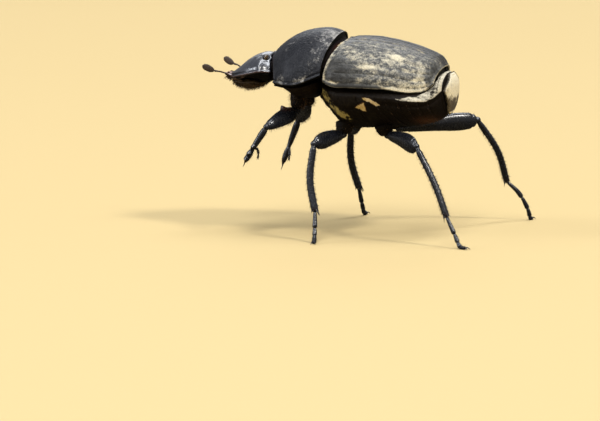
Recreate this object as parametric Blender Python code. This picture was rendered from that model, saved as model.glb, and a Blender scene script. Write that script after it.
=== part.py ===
"""A ball-rolling dung beetle, life size, standing on its four hind feet with its forelegs raised.

The beetle faces -X, its left side is -Y, and the floor is z = 0. All sizes below are in
millimetres and become metres where a mesh is made. Each plate, leg section and feeler is one
closed solid. Neighbouring solids keep a small clearance, CLEAR, so that none of them touch.
"""
import bpy
import bmesh
from math import sin, cos, pi, sqrt, exp
from mathutils import Vector

for old in list(bpy.data.objects):
    bpy.data.objects.remove(old, do_unlink=True)

MM = 0.001                 # metres in a millimetre
CLEAR = 0.08               # clearance between neighbouring plates

# ---- Driving dimensions, in millimetres ---------------------------------------------------
SHIFT = Vector((0.35, 0.0, 0.0))   # moves the whole beetle so the origin is under its middle

HEAD_TIP, HEAD_REAR = -9.42, -6.44         # stations along the body
PRONOTUM_FRONT, PRONOTUM_REAR = -6.34, -1.62
ELYTRA_FRONT, ELYTRA_REAR = -1.10, 5.46
PYGIDIUM_FRONT, PYGIDIUM_REAR = 5.68, 6.06

PLATE_RIM = 0.22           # thickness of the pronotum and elytra at their margins
HEAD_RIM = 0.26            # thickness of the head shield at its margin
SUTURE = 0.03              # half the clearance between the two elytra
TOOTH_REACH = 0.48         # how far the two clypeal teeth stand out
NOTCH = 0.30               # how far the margin between them draws back
EYE = (0.17, 0.34, 0.25)   # half sizes of an eye

COXA_R = 0.62              # half width of the first section of a leg
FORE_COXA_R = 0.53
FEMUR_HALF = 0.56          # half width of a fore or middle femur at its widest
HIND_FEMUR_HALF = 0.62
KNEE_HALF = 0.25           # half width of a shin below the knee
FEMUR_DEPTH = 0.34         # half thickness of a femur, front to back
TARSUS_R = 0.26            # half thickness of a foot
FOOT_LIFT = 0.165          # height of a foot's centreline where it lies on the floor


def profile(*stations):
    """A smooth curve through (position, value) stations that never overshoots them."""
    xs = [s[0] for s in stations]
    ys = [s[1] for s in stations]
    n = len(xs)
    d = [(ys[i + 1] - ys[i]) / (xs[i + 1] - xs[i]) for i in range(n - 1)]
    m = [d[0]]
    for a, b in zip(d, d[1:]):
        m.append(0.0 if a * b <= 0 else 2 * a * b / (a + b))
    m.append(d[-1])

    def value(x):
        if x <= xs[0]:
            return ys[0]
        if x >= xs[-1]:
            return ys[-1]
        i = max(k for k in range(n - 1) if xs[k] <= x)
        h = xs[i + 1] - xs[i]
        u = (x - xs[i]) / h
        return ((2 * u ** 3 - 3 * u * u + 1) * ys[i] + (u ** 3 - 2 * u * u + u) * h * m[i]
                + (3 * u * u - 2 * u ** 3) * ys[i + 1] + (u ** 3 - u * u) * h * m[i + 1])
    return value


def lerp(a, b, u):
    return a + (b - a) * u


def bump(x, centre, width):
    return exp(-((x - centre) / width) ** 2)


# ---- Materials ----------------------------------------------------------------------------

def material(name, colour, roughness, metallic=0.0):
    mat = bpy.data.materials.new(name)
    mat.use_nodes = True
    bsdf = mat.node_tree.nodes["Principled BSDF"]
    bsdf.inputs["Base Color"].default_value = (*colour, 1.0)
    bsdf.inputs["Roughness"].default_value = roughness
    bsdf.inputs["Metallic"].default_value = metallic
    return mat


COLOURS = {
    "head": ((0.035, 0.045, 0.065), 0.30),
    "eye": ((0.12, 0.075, 0.035), 0.15),
    "feeler": ((0.14, 0.11, 0.09), 0.55),
    "mouth": ((0.06, 0.035, 0.018), 0.55),
    "pronotum": ((0.045, 0.058, 0.082), 0.42),
    "elytron": ((0.085, 0.10, 0.115), 0.48),
    "membrane": ((0.10, 0.035, 0.02), 0.45),
    "underside": ((0.028, 0.025, 0.020), 0.45),
    "pygidium": ((0.26, 0.235, 0.18), 0.65),
    "leg": ((0.028, 0.033, 0.045), 0.32),
}


# ---- Mesh builders ------------------------------------------------------------------------

def finish(name, bm, origin, look):
    """Turns a bmesh in millimetres into a named object whose origin is the given point."""
    origin = Vector(origin) + SHIFT
    bmesh.ops.remove_doubles(bm, verts=bm.verts, dist=1e-5)
    bmesh.ops.recalc_face_normals(bm, faces=bm.faces)
    for v in bm.verts:
        v.co = (v.co + SHIFT - origin) * MM
    mesh = bpy.data.meshes.new(name)
    bm.to_mesh(mesh)
    bm.free()
    mesh.shade_smooth()
    mesh.set_sharp_from_angle(angle=0.7)
    colour, roughness = COLOURS[look]
    mesh.materials.append(material(name, colour, roughness))
    ob = bpy.data.objects.new(name, mesh)
    ob.location = origin * MM
    bpy.context.collection.objects.link(ob)
    return ob


def plate(name, outer, inner, rows, columns, origin, look):
    """A closed plate between two surfaces, each a function of (s, t) from 0 to 1."""
    bm = bmesh.new()
    grids = []
    for surface in (outer, inner):
        grids.append([[bm.verts.new(surface(i / rows, j / columns)) for j in range(columns + 1)]
                      for i in range(rows + 1)])
    top, bottom = grids
    for i in range(rows):
        for j in range(columns):
            bm.faces.new((top[i][j], top[i + 1][j], top[i + 1][j + 1], top[i][j + 1]))
            bm.faces.new((bottom[i][j], bottom[i][j + 1], bottom[i + 1][j + 1], bottom[i + 1][j]))
    for i in range(rows):
        for j in (0, columns):
            bm.faces.new((top[i][j], bottom[i][j], bottom[i + 1][j], top[i + 1][j]))
    for j in range(columns):
        for i in (0, rows):
            bm.faces.new((top[i][j], top[i][j + 1], bottom[i][j + 1], bottom[i][j]))
    return finish(name, bm, origin, look)


def loft(name, ring, rings, sides, origin, look):
    """A closed body through rings, ring(s, angle) with s from 0 to 1, with fanned ends."""
    bm = bmesh.new()
    loops = [[bm.verts.new(ring(i / rings, 2 * pi * j / sides)) for j in range(sides)]
             for i in range(rings + 1)]
    for a, b in zip(loops, loops[1:]):
        for j in range(sides):
            k = (j + 1) % sides
            bm.faces.new((a[j], a[k], b[k], b[j]))
    for loop in (loops[0], loops[-1]):
        hub = bm.verts.new(sum((v.co for v in loop), Vector()) / sides)
        for j in range(sides):
            bm.faces.new((loop[j], loop[(j + 1) % sides], hub))
    return finish(name, bm, origin, look)


def path(points):
    """A smooth path through a few points, as a function of u from 0 to 1."""
    pts = [Vector(p) for p in points]
    pts = [2 * pts[0] - pts[1]] + pts + [2 * pts[-1] - pts[-2]]
    spans = len(pts) - 3

    def at(u):
        x = min(max(u, 0.0), 1.0) * spans
        i = min(int(x), spans - 1)
        f = x - i
        a, b, c, d = pts[i:i + 4]
        return 0.5 * (2 * b + (c - a) * f + (2 * a - 5 * b + 4 * c - d) * f * f
                      + (3 * b - a - 3 * c + d) * f ** 3)
    return at


def limb(name, points, outer, inner, depth, edge, rings, sides, look, floor=None):
    """A rod along a path. Its section reaches outer(u) towards edge, inner(u) away from it,
    and depth(u) to either side. Nothing of it goes below the floor height, if one is given."""
    at = path(points)
    edge = Vector(edge)

    def ring(s, angle):
        tangent = (at(s + 0.01) - at(s - 0.01)).normalized()
        across = (edge - tangent * edge.dot(tangent)).normalized()
        other = tangent.cross(across)
        reach = outer(s) if cos(angle) > 0 else inner(s)
        p = at(s) + across * (reach * cos(angle)) + other * (depth(s) * sin(angle))
        if floor is not None:
            p.z = max(p.z, floor)
        return p
    return loft(name, ring, rings, sides, points[0], look)


def ellipsoid(name, centre, radii, look, sides=12, rows=8):
    centre = Vector(centre)

    def ring(s, angle):
        u = pi * lerp(0.08, 0.92, s)
        return centre + Vector((-cos(u) * radii[0] / cos(0.08 * pi), cos(angle) * sin(u) * radii[1],
                                sin(angle) * sin(u) * radii[2]))
    return loft(name, ring, rows, sides, centre, look)


def cut(target, cutter):
    """Takes a cutter's shape out of a solid, and leaves the cutter as a hidden guide."""
    cutter.hide_render = True
    cutter.display_type = "WIRE"
    mod = target.modifiers.new("socket_" + cutter.name, "BOOLEAN")
    mod.operation = "DIFFERENCE"
    mod.solver = "EXACT"
    mod.object = cutter


# ---- Pronotum: a broad dome with a rolled-under side margin --------------------------------

PRON_TOP = profile((0, 11.66), (0.06, 12.10), (0.2, 12.70), (0.35, 13.13), (0.5, 13.40),
                   (0.64, 13.54), (0.78, 13.58), (0.9, 13.50), (1, 13.30))
PRON_HALF = profile((0, 3.10), (0.12, 3.60), (0.3, 4.10), (0.5, 4.32), (0.7, 4.28), (1, 3.98))
PRON_SIDE = profile((0, 10.16), (0.15, 10.14), (0.4, 10.10), (0.55, 10.16), (0.75, 10.42), (1, 10.78))


def pronotum_x(s, t):
    """Front margin nearly straight with forward corners, hind margin bowed to the rear."""
    front = PRONOTUM_FRONT + 0.76 * t * t - 0.15 * t ** 6
    rear = PRONOTUM_REAR - 0.66 * t * t
    return lerp(front, rear, s)


def dome(height, t, power=2.1, root=1.75):
    return height * max(0.0, 1 - abs(t) ** power) ** (1 / root)


def pronotum_outer(s, u):
    a = (u - 0.5) * pi
    t = sin(a)
    return Vector((pronotum_x(s, t), PRON_HALF(s) * t,
                   PRON_SIDE(s) + dome(PRON_TOP(s) - PRON_SIDE(s), t)))


def pronotum_inner(s, u):
    t = sin((u - 0.5) * pi)
    p = pronotum_outer(s, u)
    p.y *= 0.97
    p.z = PRON_SIDE(s) - PLATE_RIM + 0.55 * (1 - t * t)
    return p


# ---- Elytra: one long dome parted along the middle ----------------------------------------

ELY_TOP = profile((0, 12.93), (0.12, 13.07), (0.25, 13.06), (0.4, 12.93), (0.6, 12.65),
                  (0.78, 12.28), (0.9, 11.97), (0.96, 11.66), (1, 11.12))
ELY_HALF = profile((0, 3.80), (0.06, 4.10), (0.2, 4.30), (0.45, 4.26), (0.65, 4.08),
                   (0.82, 3.66), (0.92, 3.22), (1, 2.58))
ELY_SIDE = profile((0, 10.42), (0.05, 10.24), (0.13, 10.13), (0.3, 10.12), (0.55, 10.08),
                   (0.8, 9.84), (0.9, 9.88), (0.96, 10.08), (1, 10.36))


def elytra_x(s, t):
    front = ELYTRA_FRONT - 1.05 * t * t
    rear = ELYTRA_REAR - 0.34 * t * t
    return lerp(front, rear, s)


def elytra_outer(s, t):
    """The arch is square-shouldered over most of the length and rounder at the rear."""
    root = lerp(1.9, 1.3, max(0.0, (s - 0.75) / 0.25))
    return Vector((elytra_x(s, t), ELY_HALF(s) * t,
                   ELY_SIDE(s) + dome(ELY_TOP(s) - ELY_SIDE(s), t, 2.3, root)))


def elytra_inner(s, t):
    p = elytra_outer(s, t)
    p.z = ELY_SIDE(s) - PLATE_RIM + 0.45 * (1 - t * t)
    return p


def elytron(name, side):
    def across(u):
        return sin(u * pi / 2)

    def place(surface):
        def at(s, u):
            p = surface(s, across(u))
            p.y = side * max(SUTURE, p.y)
            return p
        return at
    return plate(name, place(elytra_outer), place(elytra_inner), 13, 8,
                 (ELYTRA_FRONT, side * 2, 11.5), "elytron")


def waist(name):
    """The red-brown membrane and scutellum that show in the groove behind the pronotum."""
    def surface(drop):
        def at(s, u):
            t = 0.93 * sin((u - 0.5) * pi)
            x = lerp(pronotum_x(1, t) + CLEAR, elytra_x(0, t) - CLEAR, s)
            if drop is None:
                z = 10.86 + 0.35 * (1 - t * t)
            else:
                top = lerp(PRON_TOP(1), ELY_TOP(0), s)
                z = 10.86 + dome(top - 10.86 - drop, t)
            return Vector((x, 3.78 * t, z))
        return at
    return plate(name, surface(0.55), surface(None), 2, 16,
                 (PRONOTUM_REAR, 0, 11.5), "membrane")


# ---- Head: a shovel-shaped shield with two teeth in front ----------------------------------

HEAD_HALF = profile((0, 0.62), (0.06, 1.00), (0.2, 1.58), (0.4, 2.12), (0.6, 2.44), (0.78, 2.60),
                    (0.88, 2.42), (1, 2.30))
HEAD_TOP = profile((0, 10.30), (0.12, 10.52), (0.25, 10.84), (0.45, 11.36), (0.7, 11.76),
                   (0.88, 11.88), (1, 11.84))
HEAD_SIDE = profile((0, 10.24), (0.3, 10.44), (0.6, 10.70), (0.8, 10.82), (1, 10.80))
HEAD_UNDER = profile((0, 9.98), (0.3, 10.06), (0.6, 10.14), (0.8, 9.95), (1, 9.85))


def head_x(s, t):
    """Two teeth at the front margin, one each side of a notch on the midline."""
    teeth = TOOTH_REACH * bump(abs(t), 0.55, 0.34) * (1 - s) ** 4
    return lerp(HEAD_TIP, HEAD_REAR + 0.36 * t * t, s) + NOTCH * (1 - s) ** 4 - teeth


def head_outer(s, u):
    t = sin((u - 0.5) * pi)
    return Vector((head_x(s, t), HEAD_HALF(s) * t,
                   HEAD_SIDE(s) + dome(HEAD_TOP(s) - HEAD_SIDE(s), t, 2.0, 1.4)))


def head_inner(s, u):
    t = sin((u - 0.5) * pi)
    p = head_outer(s, u)
    p.z = lerp(HEAD_UNDER(s), HEAD_SIDE(s) - HEAD_RIM, t ** 4)
    return p


def mouthparts(name):
    """The brown mandibles, palps and lip under the shield, as one rounded mass."""
    half = profile((0, 0.45), (0.15, 0.95), (0.5, 1.36), (0.85, 1.32), (1, 1.0))
    low = profile((0, 9.72), (0.2, 9.45), (0.5, 9.28), (0.8, 9.45), (1, 9.66))

    def ring(s, angle):
        x = lerp(HEAD_TIP + 0.22, HEAD_REAR - 0.35, s)
        top = HEAD_UNDER((x - HEAD_TIP) / (HEAD_REAR - HEAD_TIP)) - CLEAR
        mid = lerp(low(s), top, 0.6)
        rise = top - mid if sin(angle) > 0 else mid - low(s)
        return Vector((x, half(s) * cos(angle), mid + rise * sin(angle)))
    return loft(name, ring, 7, 14, (HEAD_TIP + 0.4, 0, 9.7), "mouth")


def antenna(side, tag):
    stalk = [(-8.12, side * 1.80, 9.66), (-8.45, side * 2.12, 9.78), (-8.85, side * 2.30, 10.24),
             (-9.30, side * 2.42, 10.56), (-9.80, side * 2.50, 10.69)]
    thick = profile((0, 0.20), (0.12, 0.26), (1, 0.25))
    limb("antenna_stalk_" + tag, stalk, thick, thick, thick, (0, 0, 1), 7, 6, "feeler")
    club = [(-9.90, side * 2.53, 10.73), (-10.20, side * 2.64, 10.86), (-10.62, side * 2.80, 11.10)]
    wide = profile((0, 0.10), (0.2, 0.24), (0.55, 0.29), (0.85, 0.24), (1, 0.10))
    flat = profile((0, 0.10), (0.2, 0.22), (0.55, 0.26), (0.85, 0.22), (1, 0.08))
    limb("antenna_club_" + tag, club, wide, wide, flat, (0, 0, 1), 6, 8, "feeler")


# ---- Trunk: the parts under the dorsal plates ----------------------------------------------

def section(x, angle, half, level, top, low):
    """A point of the trunk's outline: widest at level, arched to top and to low."""
    c, d = cos(angle), sin(angle)
    return Vector((x, half * c * abs(c) ** 0.05, level + (top - level if d > 0 else level - low) * d))


def prothorax(name):
    half = profile((0, 2.6), (0.2, 3.25), (0.45, 3.75), (0.7, 3.85), (0.9, 3.5), (1, 2.9))
    low = profile((0, 9.84), (0.2, 9.72), (0.36, 9.25), (0.55, 8.86), (0.85, 8.84), (1, 8.98))

    def ring(s, angle):
        x = lerp(-5.75, -3.20 + 0.60 * cos(angle) ** 2, s)
        side = PRON_SIDE((x - PRONOTUM_FRONT) / (PRONOTUM_REAR - PRONOTUM_FRONT)) - PLATE_RIM
        side -= CLEAR + 0.04
        return section(x, angle, half(s), side, side + 0.42, low(s))
    return loft(name, ring, 7, 18, (-4.4, 0, 9.2), "underside")


PTERO_HALF = profile((0, 2.9), (0.08, 3.35), (0.2, 3.72), (0.35, 3.96), (0.6, 4.05), (1, 4.08))
PTERO_LEVEL = profile((0, 9.78), (0.1, 9.74), (0.25, 9.5), (0.4, 9.36), (1, 9.36))
PTERO_LOW = profile((0, 8.90), (0.1, 8.40), (0.22, 7.62), (0.36, 7.02), (0.5, 6.90), (0.8, 6.94),
                    (1, 7.04))


def under_wings(x):
    """The height of the trunk's back, which follows the underside of the elytra."""
    return ELY_SIDE((x - ELYTRA_FRONT) / (ELYTRA_REAR - ELYTRA_FRONT)) + 0.12 if x > 0 else 10.22


def trunk_split(angle):
    """The slanting seam between thorax and abdomen, farther back under the belly."""
    return 0.75 + 1.45 * max(0.0, -sin(angle)) ** 1.2


def pterothorax(name):
    def ring(s, angle):
        front = -2.38 if sin(angle) > 0 else -3.10 + 0.72 * cos(angle) ** 2
        x = lerp(front, trunk_split(angle) - CLEAR / 2, s)
        return section(x, angle, PTERO_HALF(s), PTERO_LEVEL(s), under_wings(x), PTERO_LOW(s))
    return loft(name, ring, 9, 20, (0, 0, 8.5), "underside")


ABD_HALF = profile((0, 4.08), (0.35, 4.12), (0.6, 3.98), (0.8, 3.60), (0.93, 2.96), (1, 2.36))
ABD_RIDGE = profile((0, 9.36), (0.3, 9.28), (0.6, 9.14), (0.8, 9.12), (0.9, 9.28), (0.96, 9.52),
                    (1, 9.74))
ABD_LOW = profile((0, 7.04), (0.3, 7.08), (0.6, 7.24), (0.85, 7.55), (1, 7.92))
ABD_END = 5.60


def abdomen(name):
    """Its last ring steps up behind the elytra, where the last back plate shows."""
    rows = [0, 0.12, 0.27, 0.44, 0.6, 0.75, 0.86, 0.95, 0.96, 1.0]
    step = {0.95: ABD_END - 0.12, 0.96: ABD_END - 0.10}

    def ring(i, angle):
        s = rows[round(i * (len(rows) - 1))]
        x = step.get(s, lerp(trunk_split(angle) + CLEAR / 2, ABD_END, s))
        top = 10.86 if s > 0.955 else under_wings(x)
        return section(x, angle, ABD_HALF(s), ABD_RIDGE(s), top, ABD_LOW(s))
    return loft(name, ring, len(rows) - 1, 20, (3.5, 0, 8.5), "underside")


def pygidium(name):
    """The rear plate, a rounded triangle that bulges backwards."""
    top, low = 10.80, 7.98
    half = profile((0, 0.48), (0.08, 0.85), (0.2, 1.22), (0.4, 1.70), (0.55, 2.06), (0.62, 2.16),
                   (0.7, 2.06), (0.82, 1.52), (0.93, 1.02), (1, 0.72))
    bulge = profile((0, 0.35), (0.15, 0.80), (0.35, 1), (0.5, 0.98), (0.7, 0.78), (0.88, 0.36),
                    (1, 0.05))

    def back(s, u):
        t = sin((u - 0.5) * pi)
        reach = (PYGIDIUM_REAR - PYGIDIUM_FRONT) * bulge(s) * (1 - t * t) ** 0.6
        return Vector((PYGIDIUM_FRONT + 0.03 + reach, half(s) * t, lerp(low, top, s)))

    def front(s, u):
        p = back(s, u)
        p.x = PYGIDIUM_FRONT
        return p
    return plate(name, back, front, 9, 10, (PYGIDIUM_FRONT, 0, 9.4), "pygidium")


# ---- Legs -----------------------------------------------------------------------------------

def coxa(name, top, bottom, radius, grow=0.0):
    width = profile((0, 0.70 * radius), (0.25, radius), (0.7, 0.9 * radius), (1, 0.55 * radius))

    def reach(u):
        return width(u) + grow
    a, b = Vector(top), Vector(bottom)
    along = (b - a).normalized() * grow
    return limb(name, [a - along, (a + b) / 2, b + along], reach, reach, reach, (1, 0, 0), 4, 8,
                "underside")


# Half widths of a femur from hip to knee, as shares of its widest
FEMUR_MID = ((0, 0.40), (0.12, 0.62), (0.4, 0.88), (0.68, 1), (0.86, 0.82), (0.96, 0.52), (1, 0.30))
FEMUR_FORE = ((0, 0.42), (0.12, 0.72), (0.32, 1), (0.55, 0.94), (0.78, 0.74), (0.93, 0.55), (1, 0.32))
FEMUR_HIND = ((0, 0.36), (0.15, 0.55), (0.45, 0.80), (0.76, 1), (0.90, 0.90), (0.97, 0.62), (1, 0.38))


def femur(name, hip, knee, width, edge, shape, tooth=0.0):
    """A flat club, narrow at the hip and rounded at the knee."""
    hip, knee = Vector(hip), Vector(knee)
    span = (knee - hip).normalized()
    half = profile(*((u, share * width) for u, share in shape))

    def outer(u):
        return half(u) * 0.92 + tooth * bump(u, 0.36, 0.07)
    depth = profile((0, 0.22), (0.2, FEMUR_DEPTH), (0.8, FEMUR_DEPTH), (1, 0.22))
    bow = Vector(edge).normalized() * 0.015 * (knee - hip).length
    return limb(name, [hip, (hip + knee) / 2 + bow - span * 0.1, knee], outer, half, depth, edge,
                10, 8, "leg")


def tibia(name, knee, ankle, start, end, edge, bow=0.0, teeth=(), rings=10):
    """A shaft that widens to the foot. Each tooth stands out along the outer edge."""
    knee, ankle = Vector(knee), Vector(ankle)
    bend = Vector(edge).normalized() * bow

    def inner(u):
        return lerp(start, end, u ** 0.8) * (0.72 if u == 0 else 1.0)

    def outer(u):
        return inner(u) + sum(0.24 * max(0.0, 1 - abs(u - place) / 0.065) for place in teeth)
    depth = profile((0, 0.20), (0.1, 0.26), (0.9, 0.27), (1, 0.18))
    return limb(name, [knee, (knee + ankle) / 2 + bend, ankle], outer, inner, depth, edge, rings, 8,
                "leg")


def tarsus(name, points, floor=None, joints=5):
    """A foot of short joints that lies flat on the floor at its far end."""
    def radius(u):
        pinch = 0.5 - 0.5 * cos(2 * pi * joints * u)
        return TARSUS_R - 0.02 + 0.035 * pinch
    thick = radius
    return limb(name, points, thick, thick, thick, (0, 0, 1), 2 * joints, 8, "leg", floor)


def away(a, b, gap):
    """The point at a given distance past a, on the way to b."""
    a, b = Vector(a), Vector(b)
    return a + (b - a).normalized() * gap


FORE = {"left": dict(hip=(-4.42, -1.50, 8.08), knee=(-5.86, -4.15, 7.22), tip=(-7.40, -4.05, 4.75)),
        "right": dict(hip=(-4.42, 1.50, 8.05), knee=(-5.70, 4.00, 6.85), tip=(-6.84, 3.95, 3.70))}
MID = {"left": dict(hip=(-1.15, -1.95, 6.64), knee=(-2.36, -5.30, 6.32), ankle=(-2.02, -6.30, 1.95)),
       "right": dict(hip=(-1.15, 1.95, 6.64), knee=(-2.36, 5.30, 6.32), ankle=(-2.02, 6.30, 1.95))}
HIND = {"left": dict(hip=(1.75, -1.45, 6.62), knee=(4.70, -5.95, 6.42), ankle=(6.98, -6.95, 1.95),
                     foot=[(7.56, -7.30, 0.91), (7.98, -7.57, FOOT_LIFT), (8.42, -7.85, FOOT_LIFT)]),
        "right": dict(hip=(1.85, 1.45, 6.72), knee=(6.62, 4.45, 7.10), ankle=(8.16, 6.95, 2.62),
                      foot=[(8.95, 7.12, 1.88), (9.48, 7.34, 0.88), (9.66, 7.56, FOOT_LIFT),
                            (9.74, 7.97, FOOT_LIFT)])}


def build_legs():
    sockets = {"fore": [], "rear": []}
    for tag, side in (("left", -1), ("right", 1)):
        # Foreleg: raised, with a toothed digging shin and a short foot
        j = FORE[tag]
        top = (j["hip"][0] + 0.02, side * 1.15, 9.55)
        end = away(j["hip"], top, 0.36)
        coxa("fore_coxa_" + tag, top, end, FORE_COXA_R)
        sockets["fore"].append(coxa("cut_fore_" + tag, top, end, FORE_COXA_R, CLEAR))
        femur("fore_femur_" + tag, j["hip"], j["knee"], FEMUR_HALF, (-0.55, 0.1 * side, 0.8),
              FEMUR_FORE, tooth=0.24)
        tibia("fore_tibia_" + tag, away(j["knee"], j["tip"], 0.24), j["tip"], KNEE_HALF, 0.18,
              (-0.35, side, -0.2), bow=0.10, teeth=(0.50, 0.68, 0.86), rings=19)
        root = away(j["tip"], j["knee"], 1.15) + Vector((0.15, -side * 0.58, 0.08))
        tarsus("fore_tarsus_" + tag, [root, root + Vector((0.08, 0, -0.36)),
                                      root + Vector((0.04, 0, -0.72))], joints=3)

        # Middle leg: planted beside the thorax
        j = MID[tag]
        top = (j["hip"][0] + 0.10, side * 1.75, 7.55)
        end = away(j["hip"], top, 0.30)
        coxa("mid_coxa_" + tag, top, end, COXA_R)
        sockets["rear"].append(coxa("cut_mid_" + tag, top, end, COXA_R, CLEAR))
        femur("mid_femur_" + tag, j["hip"], j["knee"], FEMUR_HALF, (-0.2, 0, 1), FEMUR_MID)
        tibia("mid_tibia_" + tag, away(j["knee"], j["ankle"], 0.24), j["ankle"], KNEE_HALF, 0.31,
              (-1, 0, 0), bow=0.30)
        foot = away(j["ankle"], j["knee"], -0.14)
        toe = Vector((-1.78, side * 7.95, FOOT_LIFT))
        tarsus("mid_tarsus_" + tag, [foot, lerp(foot, toe, 0.42) - Vector((0, 0, 0.36)),
                                     Vector((-1.88, side * 7.25, FOOT_LIFT)), toe], floor=0.0)

        # Hind leg: long and slender, reaching back
        j = HIND[tag]
        top = (j["hip"][0] - 0.35, side * 1.75, 7.55)
        end = away(j["hip"], top, 0.40)
        coxa("hind_coxa_" + tag, top, end, COXA_R)
        sockets["rear"].append(coxa("cut_hind_" + tag, top, end, COXA_R, CLEAR))
        femur("hind_femur_" + tag, j["hip"], j["knee"], HIND_FEMUR_HALF, (0, 0, 1),
              FEMUR_HIND)
        tibia("hind_tibia_" + tag, away(j["knee"], j["ankle"], 0.24), j["ankle"], KNEE_HALF, 0.27,
              (1, 0, 0.4), bow=0.14 if side < 0 else 0.34)
        tarsus("hind_tarsus_" + tag, [away(j["ankle"], j["foot"][0], 0.30)]
               + [Vector(p) for p in j["foot"]], floor=0.0)
    return sockets


# ---- Assembly -------------------------------------------------------------------------------

def build():
    plate("pronotum", pronotum_outer, pronotum_inner, 13, 16, (PRONOTUM_FRONT, 0, 11.5), "pronotum")
    elytron("elytron_left", -1)
    elytron("elytron_right", 1)
    waist("waist_membrane")
    head = plate("head", head_outer, head_inner, 11, 14, (HEAD_REAR, 0, 10.8), "head")
    for tag, side in (("left", -1), ("right", 1)):
        spot = (-6.64, side * 1.27, 11.55)
        ellipsoid("eye_" + tag, spot, EYE, "eye", 10, 6)
        cut(head, ellipsoid("cut_eye_" + tag, spot, [r + CLEAR for r in EYE], "eye", 10, 6))
        antenna(side, tag)
    mouthparts("mouthparts")
    fore = prothorax("prothorax")
    rear = pterothorax("pterothorax")
    belly = abdomen("abdomen")
    pygidium("pygidium")
    sockets = build_legs()
    for cutter in sockets["fore"]:
        cut(fore, cutter)
    for cutter in sockets["rear"]:
        cut(rear, cutter)
        if "hind" in cutter.name:
            cut(belly, cutter)


build()
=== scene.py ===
"""Looks for the life-size dung beetle: plates, legs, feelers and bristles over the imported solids.

All shapes are worked out in millimetres on the CAD solids' own profiles and written in metres.
The beetle faces -X, its left side is -Y, and the floor is z = 0.
"""
from math import cos, pi, radians, sin

import bpy
import bmesh
import numpy as np
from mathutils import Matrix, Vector


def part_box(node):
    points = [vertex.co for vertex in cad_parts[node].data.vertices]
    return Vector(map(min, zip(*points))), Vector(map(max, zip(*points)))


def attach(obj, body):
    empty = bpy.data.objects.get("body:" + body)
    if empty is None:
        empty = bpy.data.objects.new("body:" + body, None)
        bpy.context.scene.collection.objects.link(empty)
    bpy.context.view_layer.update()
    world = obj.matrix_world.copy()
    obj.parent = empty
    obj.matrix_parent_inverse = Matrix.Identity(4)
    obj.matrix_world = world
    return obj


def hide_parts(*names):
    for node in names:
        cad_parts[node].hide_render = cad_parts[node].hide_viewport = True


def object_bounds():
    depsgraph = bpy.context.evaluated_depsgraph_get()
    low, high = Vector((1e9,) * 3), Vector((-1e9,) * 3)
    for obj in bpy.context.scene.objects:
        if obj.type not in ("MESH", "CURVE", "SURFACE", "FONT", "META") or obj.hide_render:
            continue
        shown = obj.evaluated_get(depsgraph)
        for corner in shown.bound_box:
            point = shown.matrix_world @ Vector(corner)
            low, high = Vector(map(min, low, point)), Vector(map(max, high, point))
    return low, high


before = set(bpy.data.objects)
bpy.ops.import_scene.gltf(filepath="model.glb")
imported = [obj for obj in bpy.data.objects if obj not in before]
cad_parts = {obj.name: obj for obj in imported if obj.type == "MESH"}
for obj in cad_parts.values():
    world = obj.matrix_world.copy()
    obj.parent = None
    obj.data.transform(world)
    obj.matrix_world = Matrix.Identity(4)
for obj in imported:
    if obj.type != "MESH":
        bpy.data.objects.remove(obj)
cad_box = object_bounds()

MM = 0.001
PYGIDIUM_FRONT = 5.68      # where the rear plate's solid starts in the profiles' own frame
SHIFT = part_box("pygidium")[0][0] / MM - PYGIDIUM_FRONT      # the CAD's place along X
SIDES = (("left", -1), ("right", 1))
rng = np.random.default_rng(7)


# ---- Curves and noise -----------------------------------------------------------------------

def profile(*stations):
    """A smooth curve through (position, value) stations that never overshoots them."""
    xs, ys = (np.array(c, float) for c in zip(*stations))
    h = np.diff(xs)
    d = np.diff(ys) / h
    m = np.concatenate([d[:1], np.zeros(len(d) - 1), d[-1:]])
    same = d[:-1] * d[1:] > 0
    m[1:-1][same] = (2 * d[:-1] * d[1:])[same] / (d[:-1] + d[1:])[same]

    def value(x):
        x = np.clip(x, xs[0], xs[-1])
        i = np.clip(np.searchsorted(xs, x, side="right") - 1, 0, len(h) - 1)
        u = (x - xs[i]) / h[i]
        return ((2 * u ** 3 - 3 * u * u + 1) * ys[i] + (u ** 3 - 2 * u * u + u) * h[i] * m[i]
                + (3 * u * u - 2 * u ** 3) * ys[i + 1] + (u ** 3 - u * u) * h[i] * m[i + 1])
    return value


def flat(value):
    return lambda u: value + 0 * u


def lerp(a, b, u):
    return a + (b - a) * u


def bell(x, centre, width):
    return np.exp(-((x - centre) / width) ** 2)


def rolls(x, *terms):
    """Rounded ridges and grooves side by side: each term is a height, a place and a width."""
    return sum(height * bell(x, centre, width) for height, centre, width in terms)


def ramp(x, a, b):
    """0 before a, 1 after b, smooth between; b may be below a."""
    u = np.clip((x - a) / (b - a), 0, 1)
    return u * u * (3 - 2 * u)


def vec(x, y, z):
    return np.stack(np.broadcast_arrays(x, y, z), -1).astype(float)


def unit(v):
    v = np.asarray(v, float)
    return v / np.maximum(np.linalg.norm(v, axis=-1, keepdims=True), 1e-9)


def scramble(i, j, k, seed):
    n = (i * 374761393 + j * 668265263 + k * 1274126177 + seed * 974634777) & 0xFFFFFFFF
    n = ((n ^ (n >> 13)) * 1274126177) & 0xFFFFFFFF
    return ((n ^ (n >> 16)) & 0xFFFF) / 65535.0


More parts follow.
